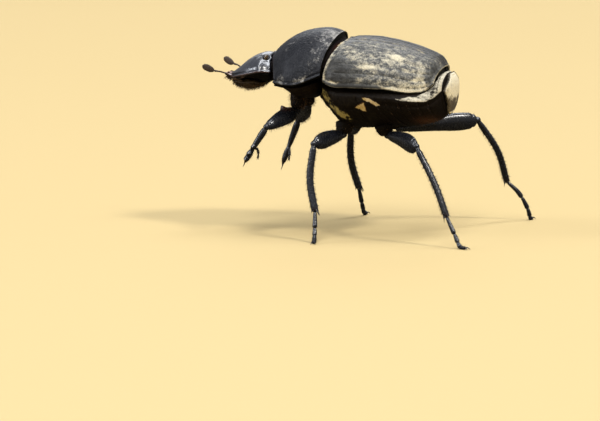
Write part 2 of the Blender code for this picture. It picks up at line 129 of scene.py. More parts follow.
def noise(p, size, seed=0, octaves=1):
    """Smooth value noise from -1 to 1 with features of the given size in millimetres."""
    total, weight = 0.0, 0.0
    for octave in range(octaves):
        q = p / size * 2 ** octave + 17.3 * octave + 100
        base = np.floor(q).astype(np.int64)
        f = q - base
        f = f * f * (3 - 2 * f)
        value = 0.0
        for c in range(8):
            corner = np.array([c & 1, c >> 1 & 1, c >> 2])
            i, j, k = np.moveaxis(base + corner, -1, 0)
            w = np.where(corner, f, 1 - f).prod(-1)
            value = value + w * scramble(i, j, k, seed + octave)
        total = total + (2 * value - 1) * 0.5 ** octave
        weight += 0.5 ** octave
    return total / weight


def grains(p, size, seed, low=0.3, high=0.7):
    """1 between scattered points and 0 at them; low and high are distances in cells."""
    q = p / size + 100
    base = np.floor(q).astype(np.int64)
    best = np.full(p.shape[:-1], 9.0)
    for c in range(27):
        cell = base + np.array([c % 3 - 1, c // 3 % 3 - 1, c // 9 - 1])
        i, j, k = np.moveaxis(cell, -1, 0)
        spot = cell + np.stack([scramble(i, j, k, seed + n) for n in (1, 2, 3)], -1)
        best = np.minimum(best, np.linalg.norm(q - spot, axis=-1))
    return ramp(best, low, high)


# ---- Materials ------------------------------------------------------------------------------

class Nodes:
    """A material or a world whose nodes are added one after another."""

    def __init__(self, owner):
        owner.use_nodes = True
        self.owner, self.tree, self.space = owner, owner.node_tree, {}

    def put(self, socket, value):
        if isinstance(value, bpy.types.NodeSocket):
            self.tree.links.new(value, socket)
        else:
            socket.default_value = value

    def shade(self, shader="Principled BSDF", **sockets):
        """Sets or links the shader's sockets and hands over the material or world."""
        for key, value in sockets.items():
            self.put(self.tree.nodes[shader].inputs[key.replace("_", " ")], value)
        return self.owner

    def node(self, kind, ins, out=0, **props):
        n = self.tree.nodes.new("ShaderNode" + kind)
        for key, value in props.items():
            setattr(n, key, value)
        for key, value in ins.items():
            self.put(n.inputs[key], value)
        return n.outputs[out]

    def where(self, stretch=(1, 1, 1)):
        """Object coordinates in millimetres, divided by the given stretch along each axis."""
        if stretch not in self.space:
            at = self.node("TexCoord", {}, out=3)
            scale = tuple(1 / MM / s for s in stretch)
            self.space[stretch] = self.node("Mapping", {0: at, 3: scale}, vector_type="POINT")
        return self.space[stretch]

    def noise(self, scale, detail=3.0, stretch=(1, 1, 1), rough=0.55):
        return self.node("TexNoise", {"Vector": self.where(stretch), "Scale": scale,
                                      "Detail": detail, "Roughness": rough})

    def cells(self, scale):
        return self.node("TexVoronoi", {"Vector": self.where(), "Scale": scale})

    def add(self, a, b):
        return self.node("Math", {0: a, 1: b}, operation="ADD")

    def times(self, a, b):
        return self.node("Math", {0: a, 1: b}, operation="MULTIPLY")

    def step(self, x, a, b, low=0.0, high=1.0):
        return self.node("MapRange", {0: x, 1: a, 2: b, 3: low, 4: high},
                         interpolation_type="SMOOTHSTEP")

    def mix(self, factor, *ends):
        a, b = (c if isinstance(c, bpy.types.NodeSocket) else (*c, 1.0) for c in ends)
        return self.node("Mix", {0: factor, 6: a, 7: b}, out=2, data_type="RGBA")

    def mask(self, name):
        return self.node("Attribute", {}, out=2, attribute_name=name)

    def bump(self, height, depth, strength=1.0, **under):
        """A bump of the given depth in millimetres, over the normals of Normal if given."""
        return self.node("Bump", {"Strength": strength, "Distance": depth * MM,
                                  "Height": height, **under})


def chitin(name, dark, pale, rough, speckle, dust_and_painted_light=(0.52, 0.46, 0.33), cover=0.0,
           streak=(1, 1, 1), grain=14.0, grain_depth=0.012, shine=0.45,
           tint=(0.16, 0.055, 0.02), coat=0.0, wave=0.5, broad_scale=1.3, soft=0.0):
    """Horny plate: a dark ground with a finer pale bloom, dust where the mask and the noise
    allow it, a tint at thin edges, and a grained surface. On some pieces the dust mask also
    paints highlights, light from above and shade, and the tint paints a shadow line on the wing
    cases and a glint on the belly."""
    f = Nodes(bpy.data.materials.new(name))
    broad = f.noise(broad_scale, 3, streak)
    fine = f.noise(speckle, 4, streak, 0.65)
    tiny = f.noise(speckle * 3.1, 2)
    # the tint mask also carries a painted shadow line on the wing cases and a painted glint on the
    # belly
    edge = f.mask("tint")
    ground = f.mix(f.step(f.add(f.times(fine, 0.6), f.times(tiny, 0.4)), 0.38, 0.66), dark, pale)
    ground = f.mix(f.step(broad, 0.35, 0.75, 0.0, 0.5), ground, dark)
    ground = f.mix(edge, ground, tint)
    # the mask says how much dust lies here, and on some pieces painted light and shade; the
    # noise breaks it into streaks and specks
    ragged = f.add(f.times(broad, 0.55), f.add(f.times(fine, 1.0), f.times(tiny, 0.45)))
    amount = f.add(f.mask("dust_and_painted_light"), f.add(ragged, cover - 1.00))
    covered = f.step(amount, 0.14 - soft, 0.66 + soft)
    shades = (tuple(c * k for c in dust_and_painted_light) for k in (0.72, 1.12))
    dust_and_painted_light_tone = f.mix(edge, f.mix(f.step(tiny, 0.3, 0.7), *shades), (0.50, 0.37, 0.17))
    gloss = f.add(f.times(fine, 0.16), rough - 0.08)
    pits = f.step(f.cells(grain), 0.05, 0.5)
    relief = f.bump(f.add(f.times(pits, 0.7), f.times(tiny, 0.5)), grain_depth)
    return f.shade(Base_Color=f.mix(f.times(covered, 0.92), ground, dust_and_painted_light_tone),
                   Roughness=f.add(gloss, f.times(covered, 0.38)), Specular_IOR_Level=shine,
                   Coat_Weight=coat, Coat_Roughness=0.18,
                   Normal=f.bump(fine, 0.02, wave, Normal=relief))


def eye_finish():
    """Glossy amber-brown facets over a dark ground."""
    f = Nodes(bpy.data.materials.new("faceted_eye"))
    facets = f.cells(26.0)
    glow = f.mix(f.step(facets, 0.1, 0.55), (0.22, 0.15, 0.045), (0.045, 0.022, 0.010))
    return f.shade(Base_Color=f.mix(f.step(f.noise(5.0), 0.35, 0.65), glow, (0.03, 0.02, 0.015)),
                   Roughness=0.14, Coat_Weight=0.6, Coat_Roughness=0.06,
                   Normal=f.bump(f.step(facets, 0.5, 0.0), 0.008, 0.6))


def bristle_finish(name, root, tip):
    """Stiff hairs: darker and paler ones side by side."""
    f = Nodes(bpy.data.materials.new(name))
    return f.shade(Base_Color=f.mix(f.step(f.noise(5.0, 2), 0.35, 0.65), root, tip),
                   Roughness=f.add(f.times(f.noise(20.0, 1), 0.2), 0.35))


LOOKS = {
    "pronotum": chitin("slate_plate", (0.0035, 0.004, 0.007), (0.023, 0.025, 0.031), 0.44, 7.0,
                       shine=0.24, dust_and_painted_light=(0.40, 0.39, 0.37)),
    "elytron": chitin("wing_case", (0.032, 0.034, 0.036), (0.215, 0.213, 0.194), 0.42, 4.4,
                      cover=0.10, streak=(1.4, 1, 1), shine=0.32, dust_and_painted_light=(0.68, 0.62, 0.46),
                      broad_scale=2.2, soft=0.12, tint=(0.019, 0.018, 0.016)),
    "head": chitin("head_shield", (0.008, 0.010, 0.016), (0.022, 0.026, 0.040), 0.30, 8.0,
                   cover=-0.30, shine=1.0, coat=0.6, wave=0.15, grain_depth=0.004,
                   tint=(0.20, 0.075, 0.035)),
    "leg": chitin("leg_horn", (0.005, 0.006, 0.009), (0.016, 0.017, 0.022), 0.26, 8.0,
                  cover=-0.22, shine=0.60, coat=0.25, wave=0.15, grain_depth=0.004,
                  dust_and_painted_light=(0.34, 0.31, 0.25)),
    # the underside and flank grounds are darker than the horn's own black: painted shade from below
    "underside": chitin("belly_horn", (0.003, 0.0027, 0.002), (0.009, 0.0075, 0.0045), 0.55, 7.0,
                        cover=-0.36, shine=0.10, dust_and_painted_light=(0.66, 0.61, 0.48)),
    "flank": chitin("flank_horn", (0.003, 0.0027, 0.002), (0.011, 0.009, 0.005), 0.55, 5.0,
                    cover=-0.30, shine=0.12, dust_and_painted_light=(0.27, 0.225, 0.085)),
    "pygidium": chitin("rear_plate", (0.06, 0.048, 0.034), (0.20, 0.16, 0.11), 0.5, 6.0,
                       cover=0.25, dust_and_painted_light=(0.84, 0.77, 0.58)),
    "mouth": chitin("mouth_horn", (0.016, 0.011, 0.005), (0.070, 0.048, 0.022), 0.45, 10.0,
                    cover=-0.25, shine=0.3, dust_and_painted_light=(0.36, 0.29, 0.13)),
    "feeler": chitin("feeler_horn", (0.030, 0.018, 0.012), (0.085, 0.055, 0.038), 0.5, 16.0,
                     cover=-0.2, grain=30.0, dust_and_painted_light=(0.30, 0.25, 0.18)),
    # near black: the skin's own dark colour and painted shade of the gaps it lies in
    "membrane": chitin("neck_skin", (0.003, 0.002, 0.002), (0.010, 0.006, 0.005), 0.60, 9.0,
                       cover=-0.05, shine=0.05, dust_and_painted_light=(0.62, 0.52, 0.34),
                       tint=(0.085, 0.024, 0.010)),
    "eye": eye_finish(),
    "bristle": bristle_finish("brown_bristle", (0.045, 0.022, 0.010), (0.17, 0.090, 0.035)),
    "dark_bristle": bristle_finish("dark_bristle", (0.018, 0.012, 0.010), (0.070, 0.045, 0.028)),
}


# ---- Meshes ---------------------------------------------------------------------------------

def link(name, data):
    thing = bpy.data.objects.new(name, data)
    bpy.context.scene.collection.objects.link(thing)
    return thing


def solid(name, parts, look, *nodes, dust_and_painted_light=(), tint=(), rest=0.0, lined=False, slot=None):
    """Joins (points, faces) pairs in millimetres into one piece that rides on the beetle and
    replaces the nodes. The dust mask, which on some pieces also paints light and shade, and the
    tint are one number a point, which the material reads; points past the ones given have the
    dust mask's value rest. A lined plate shows the underside's look past its first upper faces."""
    points, faces, base = [], [], 0
    for p, f, *upper in parts:
        p = np.asarray(p, float).reshape(-1, 3)
        points.append(p)
        faces += [tuple(int(k) + base for k in face) for face in f]
        base += len(p)
    points = np.concatenate(points) + (SHIFT, 0, 0)
    mesh = bpy.data.meshes.new(name)
    mesh.from_pydata((points * MM).tolist(), [], faces)
    for mask, given, other in (("dust_and_painted_light", dust_and_painted_light, rest), ("tint", tint, 0.0)):
        values = np.full(len(points), other)
        values[:np.size(given)] = np.ravel(given)
        mesh.attributes.new(mask, "FLOAT", "POINT").data.foreach_set("value", values)
    bm = bmesh.new()
    bm.from_mesh(mesh)
    bmesh.ops.recalc_face_normals(bm, faces=bm.faces)
    bm.to_mesh(mesh)
    bm.free()
    mesh.shade_smooth()
    mesh.materials.append(LOOKS[look])
    if lined:
        mesh.materials.append(LOOKS["underside"])
        lower = (np.arange(len(faces)) >= upper[0]).astype(np.int32)
        mesh.polygons.foreach_set("material_index", lower)
    piece = link(name, mesh)
    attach(piece, "root")
    if nodes:
        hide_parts(*nodes)
    return piece


def span(rows, columns):
    return np.meshgrid(np.linspace(0, 1, rows + 1), np.linspace(0, 1, columns + 1),
                       indexing="ij")


def bunched(rows, columns, start, end, reach):
    """Rows from start to end, and columns from -1 to 1 that bunch up towards both sides."""
    s, u = span(rows, columns)
    return lerp(start, end, s), np.sin((u - 0.5) * pi * reach)


def turns(rows, sides):
    """Places along and angles round a wrapped grid."""
    return np.meshgrid(np.linspace(0, 1, rows + 1), 2 * pi * np.arange(sides) / sides,
                       indexing="ij")


def facing(p, wrap=False):
    """Unit normals of a grid of points."""
    if wrap:
        q = np.concatenate([p[:, -1:], p, p[:, :1]], 1)
        across = q[:, 2:] - q[:, :-2]
    else:
        across = np.gradient(p, axis=1)
    return unit(np.cross(np.gradient(p, axis=0), across))


def outward(p, axis=2):
    """Unit normals of an open grid, on the side where most of them point along the axis."""
    n = facing(p)
    return n if n[..., axis].mean() > 0 else -n


def rings_of(at, rows, sides):
    """A wrapped grid from at(s, angle), with its normals outward."""
    s, a = turns(rows, sides)
    p = at(s, a)
    n = facing(p, True)
    return s, a, p, n if ((p - p.mean(1, keepdims=True)) * n).sum() > 0 else -n


def margins(p):
    """Distances along the surface from each point to the grid's four margins."""
    down = np.linalg.norm(np.diff(p, axis=0), axis=-1)
    along = np.linalg.norm(np.diff(p, axis=1), axis=-1)
    front = np.concatenate([np.zeros((1, p.shape[1])), np.cumsum(down, 0)])
    first = np.concatenate([np.zeros((p.shape[0], 1)), np.cumsum(along, 1)], 1)
    return front, front[-1:] - front, first, first[:, -1:] - first


def grid_faces(rows, columns, wrap=False):
    index = np.arange((rows + 1) * (columns + (0 if wrap else 1))).reshape(rows + 1, -1)
    if wrap:
        index = np.concatenate([index, index[:, :1]], 1)
    quads = np.stack([index[:-1, :-1], index[1:, :-1], index[1:, 1:], index[:-1, 1:]], -1)
    return index, quads.reshape(-1, 4).tolist()


RIM_TURNS = (30, 60, 90, 120, 150)         # degrees round a plate's edge
LINING = (0.02, 0.06, 0.15, 0.35, 0.65)    # how far in the rings of its lower side lie
UPPER_RINGS = 4                            # rings of faces that look like the upper side
HAIR_FLOOR = 0.004                         # the lowest that a hair reaches
BAKE_PATCH = 0.003                         # a hair's share of the unwrap, from side to side


def shell(p, s, t, half, under):
    """Closes a grid of points into a plate with a rounded edge of the given half thickness,
    over the lower surface under(s, t). The grid's own points come first."""
    rows, columns = p.shape[0] - 1, p.shape[1] - 1
    index, faces = grid_faces(rows, columns)
    n = outward(p)
    loop = np.concatenate([index[:-1, 0], index[-1, :-1], index[:0:-1, -1], index[0, :0:-1]])
    b, m = p.reshape(-1, 3)[loop], n.reshape(-1, 3)[loop]
    m = unit(np.roll(m, 1, 0) + m + np.roll(m, -1, 0))
    out = unit(np.cross(m, np.roll(b, -1, 0) - np.roll(b, 1, 0)))
    if ((b - b.mean(0)) * out).sum() < 0:
        out = -out
    points = [p.reshape(-1, 3)]
    points += [b + out * half * sin(a) - m * half * (1 - cos(a)) for a in map(radians, RIM_TURNS)]
    s, t = (np.broadcast_to(c, p.shape[:2]).reshape(-1)[loop] for c in (s, t))
    points += [under(lerp(s, s.mean(), inward), lerp(t, t.mean(), inward)) for inward in LINING]
    points.append(points[-1].mean(0)[None])
    start, count = index.size, len(loop)
    ring = start + np.arange((len(points) - 2) * count).reshape(-1, count)
    ring = np.concatenate([loop[None], ring])
    step = np.roll(ring, -1, 1)
    faces += np.stack([ring[:-1], step[:-1], step[1:], ring[1:]], -1).reshape(-1, 4).tolist()
    hub = np.full(count, ring[-1, -1] + 1)
    faces += np.stack([ring[-1], step[-1], hub], -1).tolist()
    return np.concatenate(points), faces, rows * columns + UPPER_RINGS * count


def barrel(p):
    """Closes a wrapped grid of rings with a fan at each end."""
    rows, sides = p.shape[0] - 1, p.shape[1]
    index, faces = grid_faces(rows, sides, wrap=True)
    for ring, hub in ((index[0], rows * sides + sides), (index[-1], rows * sides + sides + 1)):
        faces += [(ring[j], ring[j + 1], hub) for j in range(sides)]
    return np.concatenate([p.reshape(-1, 3), p[0].mean(0)[None], p[-1].mean(0)[None]]), faces


class Rod:
    """A rod along a smooth path. Its section reaches outer(u) towards edge, inner(u) away from
    it and depth(u) to either side."""

    def __init__(self, points, outer, inner=None, depth=None, edge=(0, 0, 1), relief=None,
                 square=1.0, floor=None):
        pts = np.array(points, float)
        self.points = np.concatenate([2 * pts[:1] - pts[1:2], pts, 2 * pts[-1:] - pts[-2:-1]])
        self.outer = outer
        self.inner = inner or outer
        self.depth = depth or self.inner
        self.edge = np.array(edge, float)
        self.relief, self.square, self.floor = relief, square, floor

    def centre(self, u):
        spans = len(self.points) - 3
        x = np.clip(u, 0, 1) * spans
        i = np.minimum(x.astype(int), spans - 1)
        f = (x - i)[..., None]
        a, b, c, d = (self.points[i + k] for k in range(4))
        return 0.5 * (2 * b + (c - a) * f + (2 * a - 5 * b + 4 * c - d) * f * f
                      + (3 * b - a - 3 * c + d) * f ** 3)

    def length(self):
        steps = np.diff(self.centre(np.linspace(0, 1, 60)), axis=0)
        return float(np.linalg.norm(steps, axis=-1).sum())

    def axes(self, u):
        tangent = unit(self.centre(u + 0.01) - self.centre(u - 0.01))
        across = unit(self.edge - tangent * (tangent @ self.edge)[..., None])
        return tangent, across, np.cross(tangent, across)

    def at(self, u, angle):
        u, angle = np.broadcast_arrays(np.asarray(u, float), np.asarray(angle, float))
        _, across, other = self.axes(u)
        c, s = np.cos(angle), np.sin(angle)
        if self.square != 1.0:
            c, s = (np.sign(k) * np.abs(k) ** self.square for k in (c, s))
        reach = np.where(c > 0, self.outer(u), self.inner(u)) * c
        side = self.depth(u) * s
        if self.relief:
            k = 1 + self.relief(u, angle)
            reach, side = reach * k, side * k
        p = self.centre(u) + across * reach[..., None] + other * side[..., None]
        if self.floor is not None:
            p[..., 2] = np.maximum(p[..., 2], self.floor)
        return p

    def out(self, u, angle):
        """The direction away from the rod's axis at a place on it."""
        return unit(self.at(u, angle) - self.centre(u))

    def roots(self, u, angle):
        """For hairs: places on the rod, their directions, and the places unwrapped."""
        return self.at(u, angle), self.out(u, angle), unwrapped(u, angle)

    def mesh(self, rings, sides, ends, roughen=0.0):
        """Rings bunch up towards both ends, so that they close round."""
        even = np.linspace(0, 1, rings + 1)
        u = lerp(even, (1 - np.cos(pi * even)) / 2, 0.7)
        p = self.at(u[:, None], turns(rings, sides)[1])
        if ends:
            shrink = np.sqrt(np.clip(1 - np.clip(1 - u / ends, 0, 1) ** 2, 0.03, 1)
                             * np.clip(1 - np.clip(1 - (1 - u) / ends, 0, 1) ** 2, 0.03, 1))
            hub = self.centre(u)[:, None]
            p = hub + (p - hub) * shrink[:, None, None]
        if roughen:
            p = p + facing(p, True) * (noise(p, 0.12, 5, 2) * roughen)[..., None]
        return barrel(p)


def spike(root, tip, thick, sag=(0, 0, 0), rings=7, sides=8, flatten=1.0):
    """A curved thorn from a wide root to a sharp tip."""
    def wide(u):
        return thick * (1 - np.clip(u, 0, 1)) ** 0.75 + 0.006
    rod = Rod([root, (root + tip) / 2 + sag, tip], wide,
              depth=lambda u: wide(u) * flatten)
    return rod.mesh(rings, sides, ends=0)


def ball(centre, radii, rings, sides):
    u, a = turns(rings, sides)
    u = lerp(0.02, 0.98, u) * pi
    p = vec(np.cos(u), np.sin(u) * np.cos(a), np.sin(u) * np.sin(a))
    return barrel(centre + p * radii)


def unwrapped(u, angle):
    return np.stack([u, angle / (2 * pi) % 1], -1)


def hairs(name, slot, roots, out, spots, lie, length, thick, seed, curl=0.25):
    """Stiff hairs as one mesh: three-sided tapering rods that rise along out and bend to lie.
    spots gives each root's place on an unwrap of the surface it grows from."""
    count, rings = len(roots), 4
    gen = np.random.default_rng(seed)
    length = np.broadcast_to(length, count) * gen.uniform(0.65, 1.25, count)
    aim = unit(unit(out) + 0.28 * gen.normal(size=(count, 3)))
    lie = unit(np.broadcast_to(lie, (count, 3)) + 0.25 * gen.normal(size=(count, 3)))
    side = unit(np.cross(aim, unit(lie + 0.01)))
    other = np.cross(aim, side)
    s = np.linspace(0, 1, rings)[None, :, None]
    line = (roots[:, None] + aim[:, None] * (length[:, None, None] * (s - 0.08))
            + lie[:, None] * (length[:, None, None] * curl * s * s))
    p = np.stack([line + thick * (1 - 0.75 * s) * (cos(a) * side + sin(a) * other)[:, None]
                  for a in (0, 2 * pi / 3, 4 * pi / 3)], 2)      # hair, ring, side
    tips = line[:, -1] + aim * (length * 0.12)[:, None]
    points = np.concatenate([p.reshape(count, -1, 3), tips[:, None]], 1)
    points[..., 2] = np.maximum(points[..., 2], HAIR_FLOOR)
    size, top = rings * 3 + 1, 3 * (rings - 1)
    faces = [(0, 1, 2)]
    faces += [(r + k, r + (k + 1) % 3, r + 3 + (k + 1) % 3, r + 3 + k)
              for r in range(0, top, 3) for k in range(3)]
    faces += [(top + k, top + (k + 1) % 3, size - 1) for k in range(3)]
    every = [tuple(v + h * size for v in f) for h in range(count) for f in faces]
    look = "dark_bristle" if slot == "leg" else "bristle"
    piece = solid(name, [(points, every)], look, slot=slot)
    patch = np.array([(k / 3, r / rings) for r in range(rings) for k in range(3)] + [(0.5, 1)])
    place = (np.clip(spots, 0.01, 0.985)[:, None] + BAKE_PATCH * patch[None]).reshape(-1, 2)
    loops = np.empty(len(piece.data.loops), dtype=np.int32)
    piece.data.loops.foreach_get("vertex_index", loops)
    uv = piece.data.uv_layers.new(name="OFBake")
    uv.data.foreach_set("uv", place[loops].ravel())


def scattered(name, slot, tufts, *rest, **more):
    """Hairs whose roots come in several lots."""
    hairs(name, slot, *map(np.concatenate, zip(*tufts)), *rest, **more)


# ---- Plates of the back ---------------------------------------------------------------------

PRON_FRONT, PRON_REAR = -6.34, -1.62       # on the middle line, as are the next two pairs
PRON_TOP = profile((0, 11.66), (0.06, 12.10), (0.2, 12.70), (0.35, 13.13), (0.5, 13.40),
                   (0.64, 13.54), (0.78, 13.58), (0.9, 13.50), (1, 13.30))
PRON_HALF = profile((0, 3.10), (0.12, 3.60), (0.3, 4.10), (0.5, 4.32), (0.7, 4.28), (1, 3.98))
PRON_SIDE = profile((0, 10.16), (0.15, 10.14), (0.4, 10.10), (0.55, 10.16), (0.75, 10.42),
                    (1, 10.78))
ELY_FRONT, ELY_REAR = -1.10, 5.46
ELY_TOP = profile((0, 12.93), (0.12, 13.07), (0.25, 13.06), (0.4, 12.93), (0.6, 12.65),
                  (0.78, 12.28), (0.9, 11.97), (0.96, 11.66), (1, 11.12))
ELY_HALF = profile((0, 3.80), (0.06, 4.10), (0.2, 4.30), (0.45, 4.26), (0.65, 4.08),
                   (0.82, 3.66), (0.92, 3.22), (1, 2.58))
ELY_SIDE = profile((0, 10.42), (0.05, 10.24), (0.13, 10.13), (0.3, 10.12), (0.55, 10.08),
                   (0.8, 9.84), (0.9, 9.88), (0.96, 10.08), (1, 10.36))
HEAD_FRONT, HEAD_REAR = -9.42, -6.44
HEAD_HALF = profile((0, 0.62), (0.06, 1.00), (0.2, 1.58), (0.4, 2.12), (0.6, 2.44), (0.78, 2.60),
                    (0.88, 2.42), (1, 2.30))
HEAD_TOP = profile((0, 10.30), (0.12, 10.52), (0.25, 10.84), (0.45, 11.36), (0.7, 11.76),
                   (0.88, 11.88), (1, 11.84))
HEAD_SIDE = profile((0, 10.24), (0.3, 10.44), (0.6, 10.70), (0.8, 10.82), (1, 10.80))
HEAD_UNDER = profile((0, 9.98), (0.3, 10.06), (0.6, 10.14), (0.8, 9.95), (1, 9.85))
SINK = 0.03                # how far the looks lie under the solids' surface
LIP = 0.13                 # how far a plate's margin is rolled down
EYE = (-6.62, 1.27, 11.54)
LINE_GAPS = 8.3            # a wing case's width, in the gaps between its seven lines
PALE_REAR = 4.6            # behind this the wing cases' rolled edge is pale


def dome(height, t, power, root):
    return height * np.maximum(0.0, 1 - np.abs(t) ** power) ** (1 / root)


def arched(x, half, side, top, s, t, power, root):
    """A plate's outer surface, arched from side to side with its margins rolled down."""
    return vec(x, half(s) * t, side(s) + dome(top(s) - side(s), t, power, root)
               - LIP * np.abs(t) ** 9)


def pronotum_at(s, t):
    x = lerp(PRON_FRONT + 0.76 * t * t - 0.15 * t ** 6, PRON_REAR - 0.66 * t * t, s)
    return arched(x, PRON_HALF, PRON_SIDE, PRON_TOP, s, t, 2.1, 1.75)


def elytra_at(s, t):
    x = lerp(ELY_FRONT - 1.05 * t * t, ELY_REAR - 0.34 * t * t, s)
    blunt = lerp(1.9, 1.3, np.maximum(0.0, (s - 0.75) / 0.25))
    return arched(x, ELY_HALF, ELY_SIDE, ELY_TOP, s, t, 2.3, blunt)


def head_at(s, t):
    teeth = 0.48 * bell(np.abs(t), 0.55, 0.34) * (1 - s) ** 4
    x = lerp(HEAD_FRONT, HEAD_REAR + 0.36 * t * t, s) + 0.30 * (1 - s) ** 4 - teeth
    return arched(x, HEAD_HALF, HEAD_SIDE, HEAD_TOP, s, t, 2.0, 1.4)


def beneath(outer, level):
    """The lower surface of a plate: its outline, drawn in a little, at level(s, t)."""
    def at(s, t):
        p = outer(s, t)
        p[..., 1] *= 0.97
        p[..., 2] = level(s, t)
        return p
    return at


def raised(p, height):
    return p + outward(p) * (height - SINK)[..., None]


def pronotum():
    s, t = bunched(112, 260, 0.012, 1.0, 0.985)
    p = pronotum_at(s, t)
    x, y, z = np.moveaxis(p, -1, 0)
    front, back, left, right = margins(p)
    side = np.minimum(left, right)
    # a small pit on each side, a faint middle line, and shallow unevenness
    pit = ((x + 4.15) / 0.34) ** 2 + ((np.abs(y) - 3.72) / 0.22) ** 2
    uneven = (0.020 * noise(p, 0.9, 3, 2) - 0.014 * grains(p, 0.17, 11, 0.25, 0.75)
              + 0.004 * noise(p, 0.07, 9))
    height = (rolls(side, (0.040, 0.06, 0.07), (-0.035, 0.20, 0.07))
              + rolls(back, (0.015, 0.04, 0.04), (-0.012, 0.12, 0.05))
              + rolls(front, (0.035, 0.05, 0.06), (-0.03, 0.16, 0.06))
              - 0.07 * np.exp(-pit) - 0.012 * bell(y, 0, 0.10) * ramp(s, 0.3, 0.8)
              + uneven * ramp(np.minimum(side, back), 0.12, 0.3))
    # dust on the low front corner and along the sides; the paler rear half and top are partly dust
    # and partly painted light from above and behind, and the barer groove behind the rear rim is
    # painted shade
    dust_and_painted_light = (0.30 * ramp(s, 0.55, 0.95) * ramp(z, 10.8, 12.9)
            + 0.16 * ramp(s, 0.68, 0.95) * bell(z, 11.7, 0.9)
            + 0.26 * ramp(z, 10.9, 10.3) * ramp(s, 0.5, 0.15) + 0.06 * bell(side, 0.12, 0.16)
            + 0.26 * bell(side, 0.22, 0.20) * ramp(s, 0.40, 0.52) * ramp(s, 0.86, 0.72)
            + rolls(back, (0.04, 0.02, 0.10), (-0.12, 0.16, 0.08))
            + 0.08 * ramp(z, 12.2, 13.2) + 0.52 * noise(p, 0.42, 12, 3) - 0.12)
    lower = beneath(pronotum_at, lambda s, t: PRON_SIDE(s) - 0.20 + 0.55 * (1 - t * t))
    solid("pronotum_plate", [shell(raised(p, height), s, t, 0.085, lower)], "pronotum",
          "pronotum", dust_and_painted_light=dust_and_painted_light, tint=0.1 * bell(front, 0, 0.06), rest=-0.3, lined=True)


def elytron(tag, side):
    s, u = span(150, 140)
    s = lerp(0.0, 0.992, s)
    t = side * lerp(0.012, 1.0, np.sin(u * pi / 2 * 0.988))
    p = elytra_at(s, t)
    a = np.abs(t)
    front, back, inner, outer = margins(p)

    def patch(s0, t0, ws, wt):
        return bell(s, s0, ws) * bell(a, t0, wt)
    # seven fine lengthwise lines, shallower over the shoulder and towards the tip
    fade = ramp(front, 0.15, 0.9) * ramp(back, 0.2, 0.7)
    width = inner + outer
    across = inner / width * LINE_GAPS
    lines = sum(bell((across - k) * width / LINE_GAPS, 0.0, 0.045) for k in range(1, 8))
    uneven = (0.022 * noise(p * (0.5, 1, 1), 0.45, 21, 3) + 0.010 * noise(p, 0.16, 6)
              - 0.010 * grains(p, 0.20, 31, 0.25, 0.7))
    height = (rolls(inner, (0.040, 0.03, 0.07), (-0.030, 0.17, 0.06))
              + rolls(outer, (0.006, 0.07, 0.08), (-0.014, 0.22, 0.08))
              + rolls(front, (0.040, 0.05, 0.08), (-0.030, 0.18, 0.07))
              + rolls(back, (0.035, 0.04, 0.07), (-0.025, 0.16, 0.06))
              + fade * (0.012 * np.cos(across * 2 * pi + pi) - 0.020 * lines)
              + 0.07 * patch(0.10, 0.86, 0.07, 0.12) + 0.035 * patch(0.86, 0.62, 0.08, 0.2)
              + uneven * ramp(np.minimum.reduce((front, back, outer)), 0.1, 0.3))
    worn = noise(p * (0.6, 1, 1), 0.34, 24, 3)
    low_edge = ramp(s, 0.50, 0.64) * ramp(s, 0.99, 0.93)
    shoulder = ramp(s + 0.10 * worn, 0.40, 0.12) * ramp(a, 0.78, 0.91) * ramp(s, 0.0, 0.05)
    shoulder_spot = bell(outer, 0.20, 0.13) * bell(s, 0.09, 0.07)
    # darker over the shoulder, along the middle line and at the rear corner; along the lower
    # margin, outside its pale stretch towards the rear, the darkening is a painted shadow line
    dark = (0.92 * shoulder * (1 + 0.9 * worn) + 0.80 * patch(0.96, 0.72, 0.03, 0.22)
            + 0.75 * ramp(a, 0.50, 0.12)
            + 0.9 * bell(outer, 0.02, 0.12) * (1 - low_edge) * ramp(s, 0.10, 0.2)
            + 0.30 * patch(0.30, 0.96, 0.12, 0.05) - shoulder_spot)
    # dust spots; the two strongest, high on the side and low on the flank, are partly painted
    # highlights
    spots = sum(amount * patch(*place) for amount, *place in (
        (0.75, 0.62, 0.685, 0.075, 0.055), (0.68, 0.42, 0.893, 0.10, 0.026),
        (0.14, 0.12, 0.60, 0.14, 0.20), (0.38, 0.80, 0.975, 0.17, 0.035),
        (0.16, 0.55, 0.80, 0.22, 0.12), (0.25, 0.88, 0.92, 0.04, 0.03),
        (0.10, 0.45, 0.66, 0.25, 0.16), (0.30, 0.84, 0.75, 0.10, 0.16),
        (-0.60, 0.965, 0.72, 0.03, 0.20)))
    # the lower margin is bare of dust in front, under its painted shadow line, and dusty towards
    # the rear
    dust_and_painted_light = (spots + 0.30 * worn - 0.05 - 0.50 * shoulder + 0.55 * shoulder * noise(p, 0.20, 27, 2)
            - 0.22 * ramp(a, 0.34, 0.05) + 0.45 * bell(front, 0.02, 0.10)
            + 0.22 * bell(front, 0.20, 0.16) * ramp(a, 0.7, 0.95)
            + bell(outer, 0.05, 0.12) * (-0.35 + 0.90 * low_edge) + shoulder_spot
            + (0.12 + 0.28 * ramp(a, 0.70, 0.85)) * bell(back, 0.02, 0.08))
    lower = beneath(elytra_at, lambda s, t: ELY_SIDE(s) - 0.20 + 0.45 * (1 - t * t))
    body = shell(raised(p, height), s, t, 0.075, lower)
    rear = np.where(body[0][dust_and_painted_light.size:, 0] > PALE_REAR, 0.35, -0.3)
    solid(f"elytron_{tag}_plate", [body], "elytron", f"elytron_{tag}",
          dust_and_painted_light=np.append(dust_and_painted_light, rear), tint=np.clip(dark, 0, 0.9), lined=True)


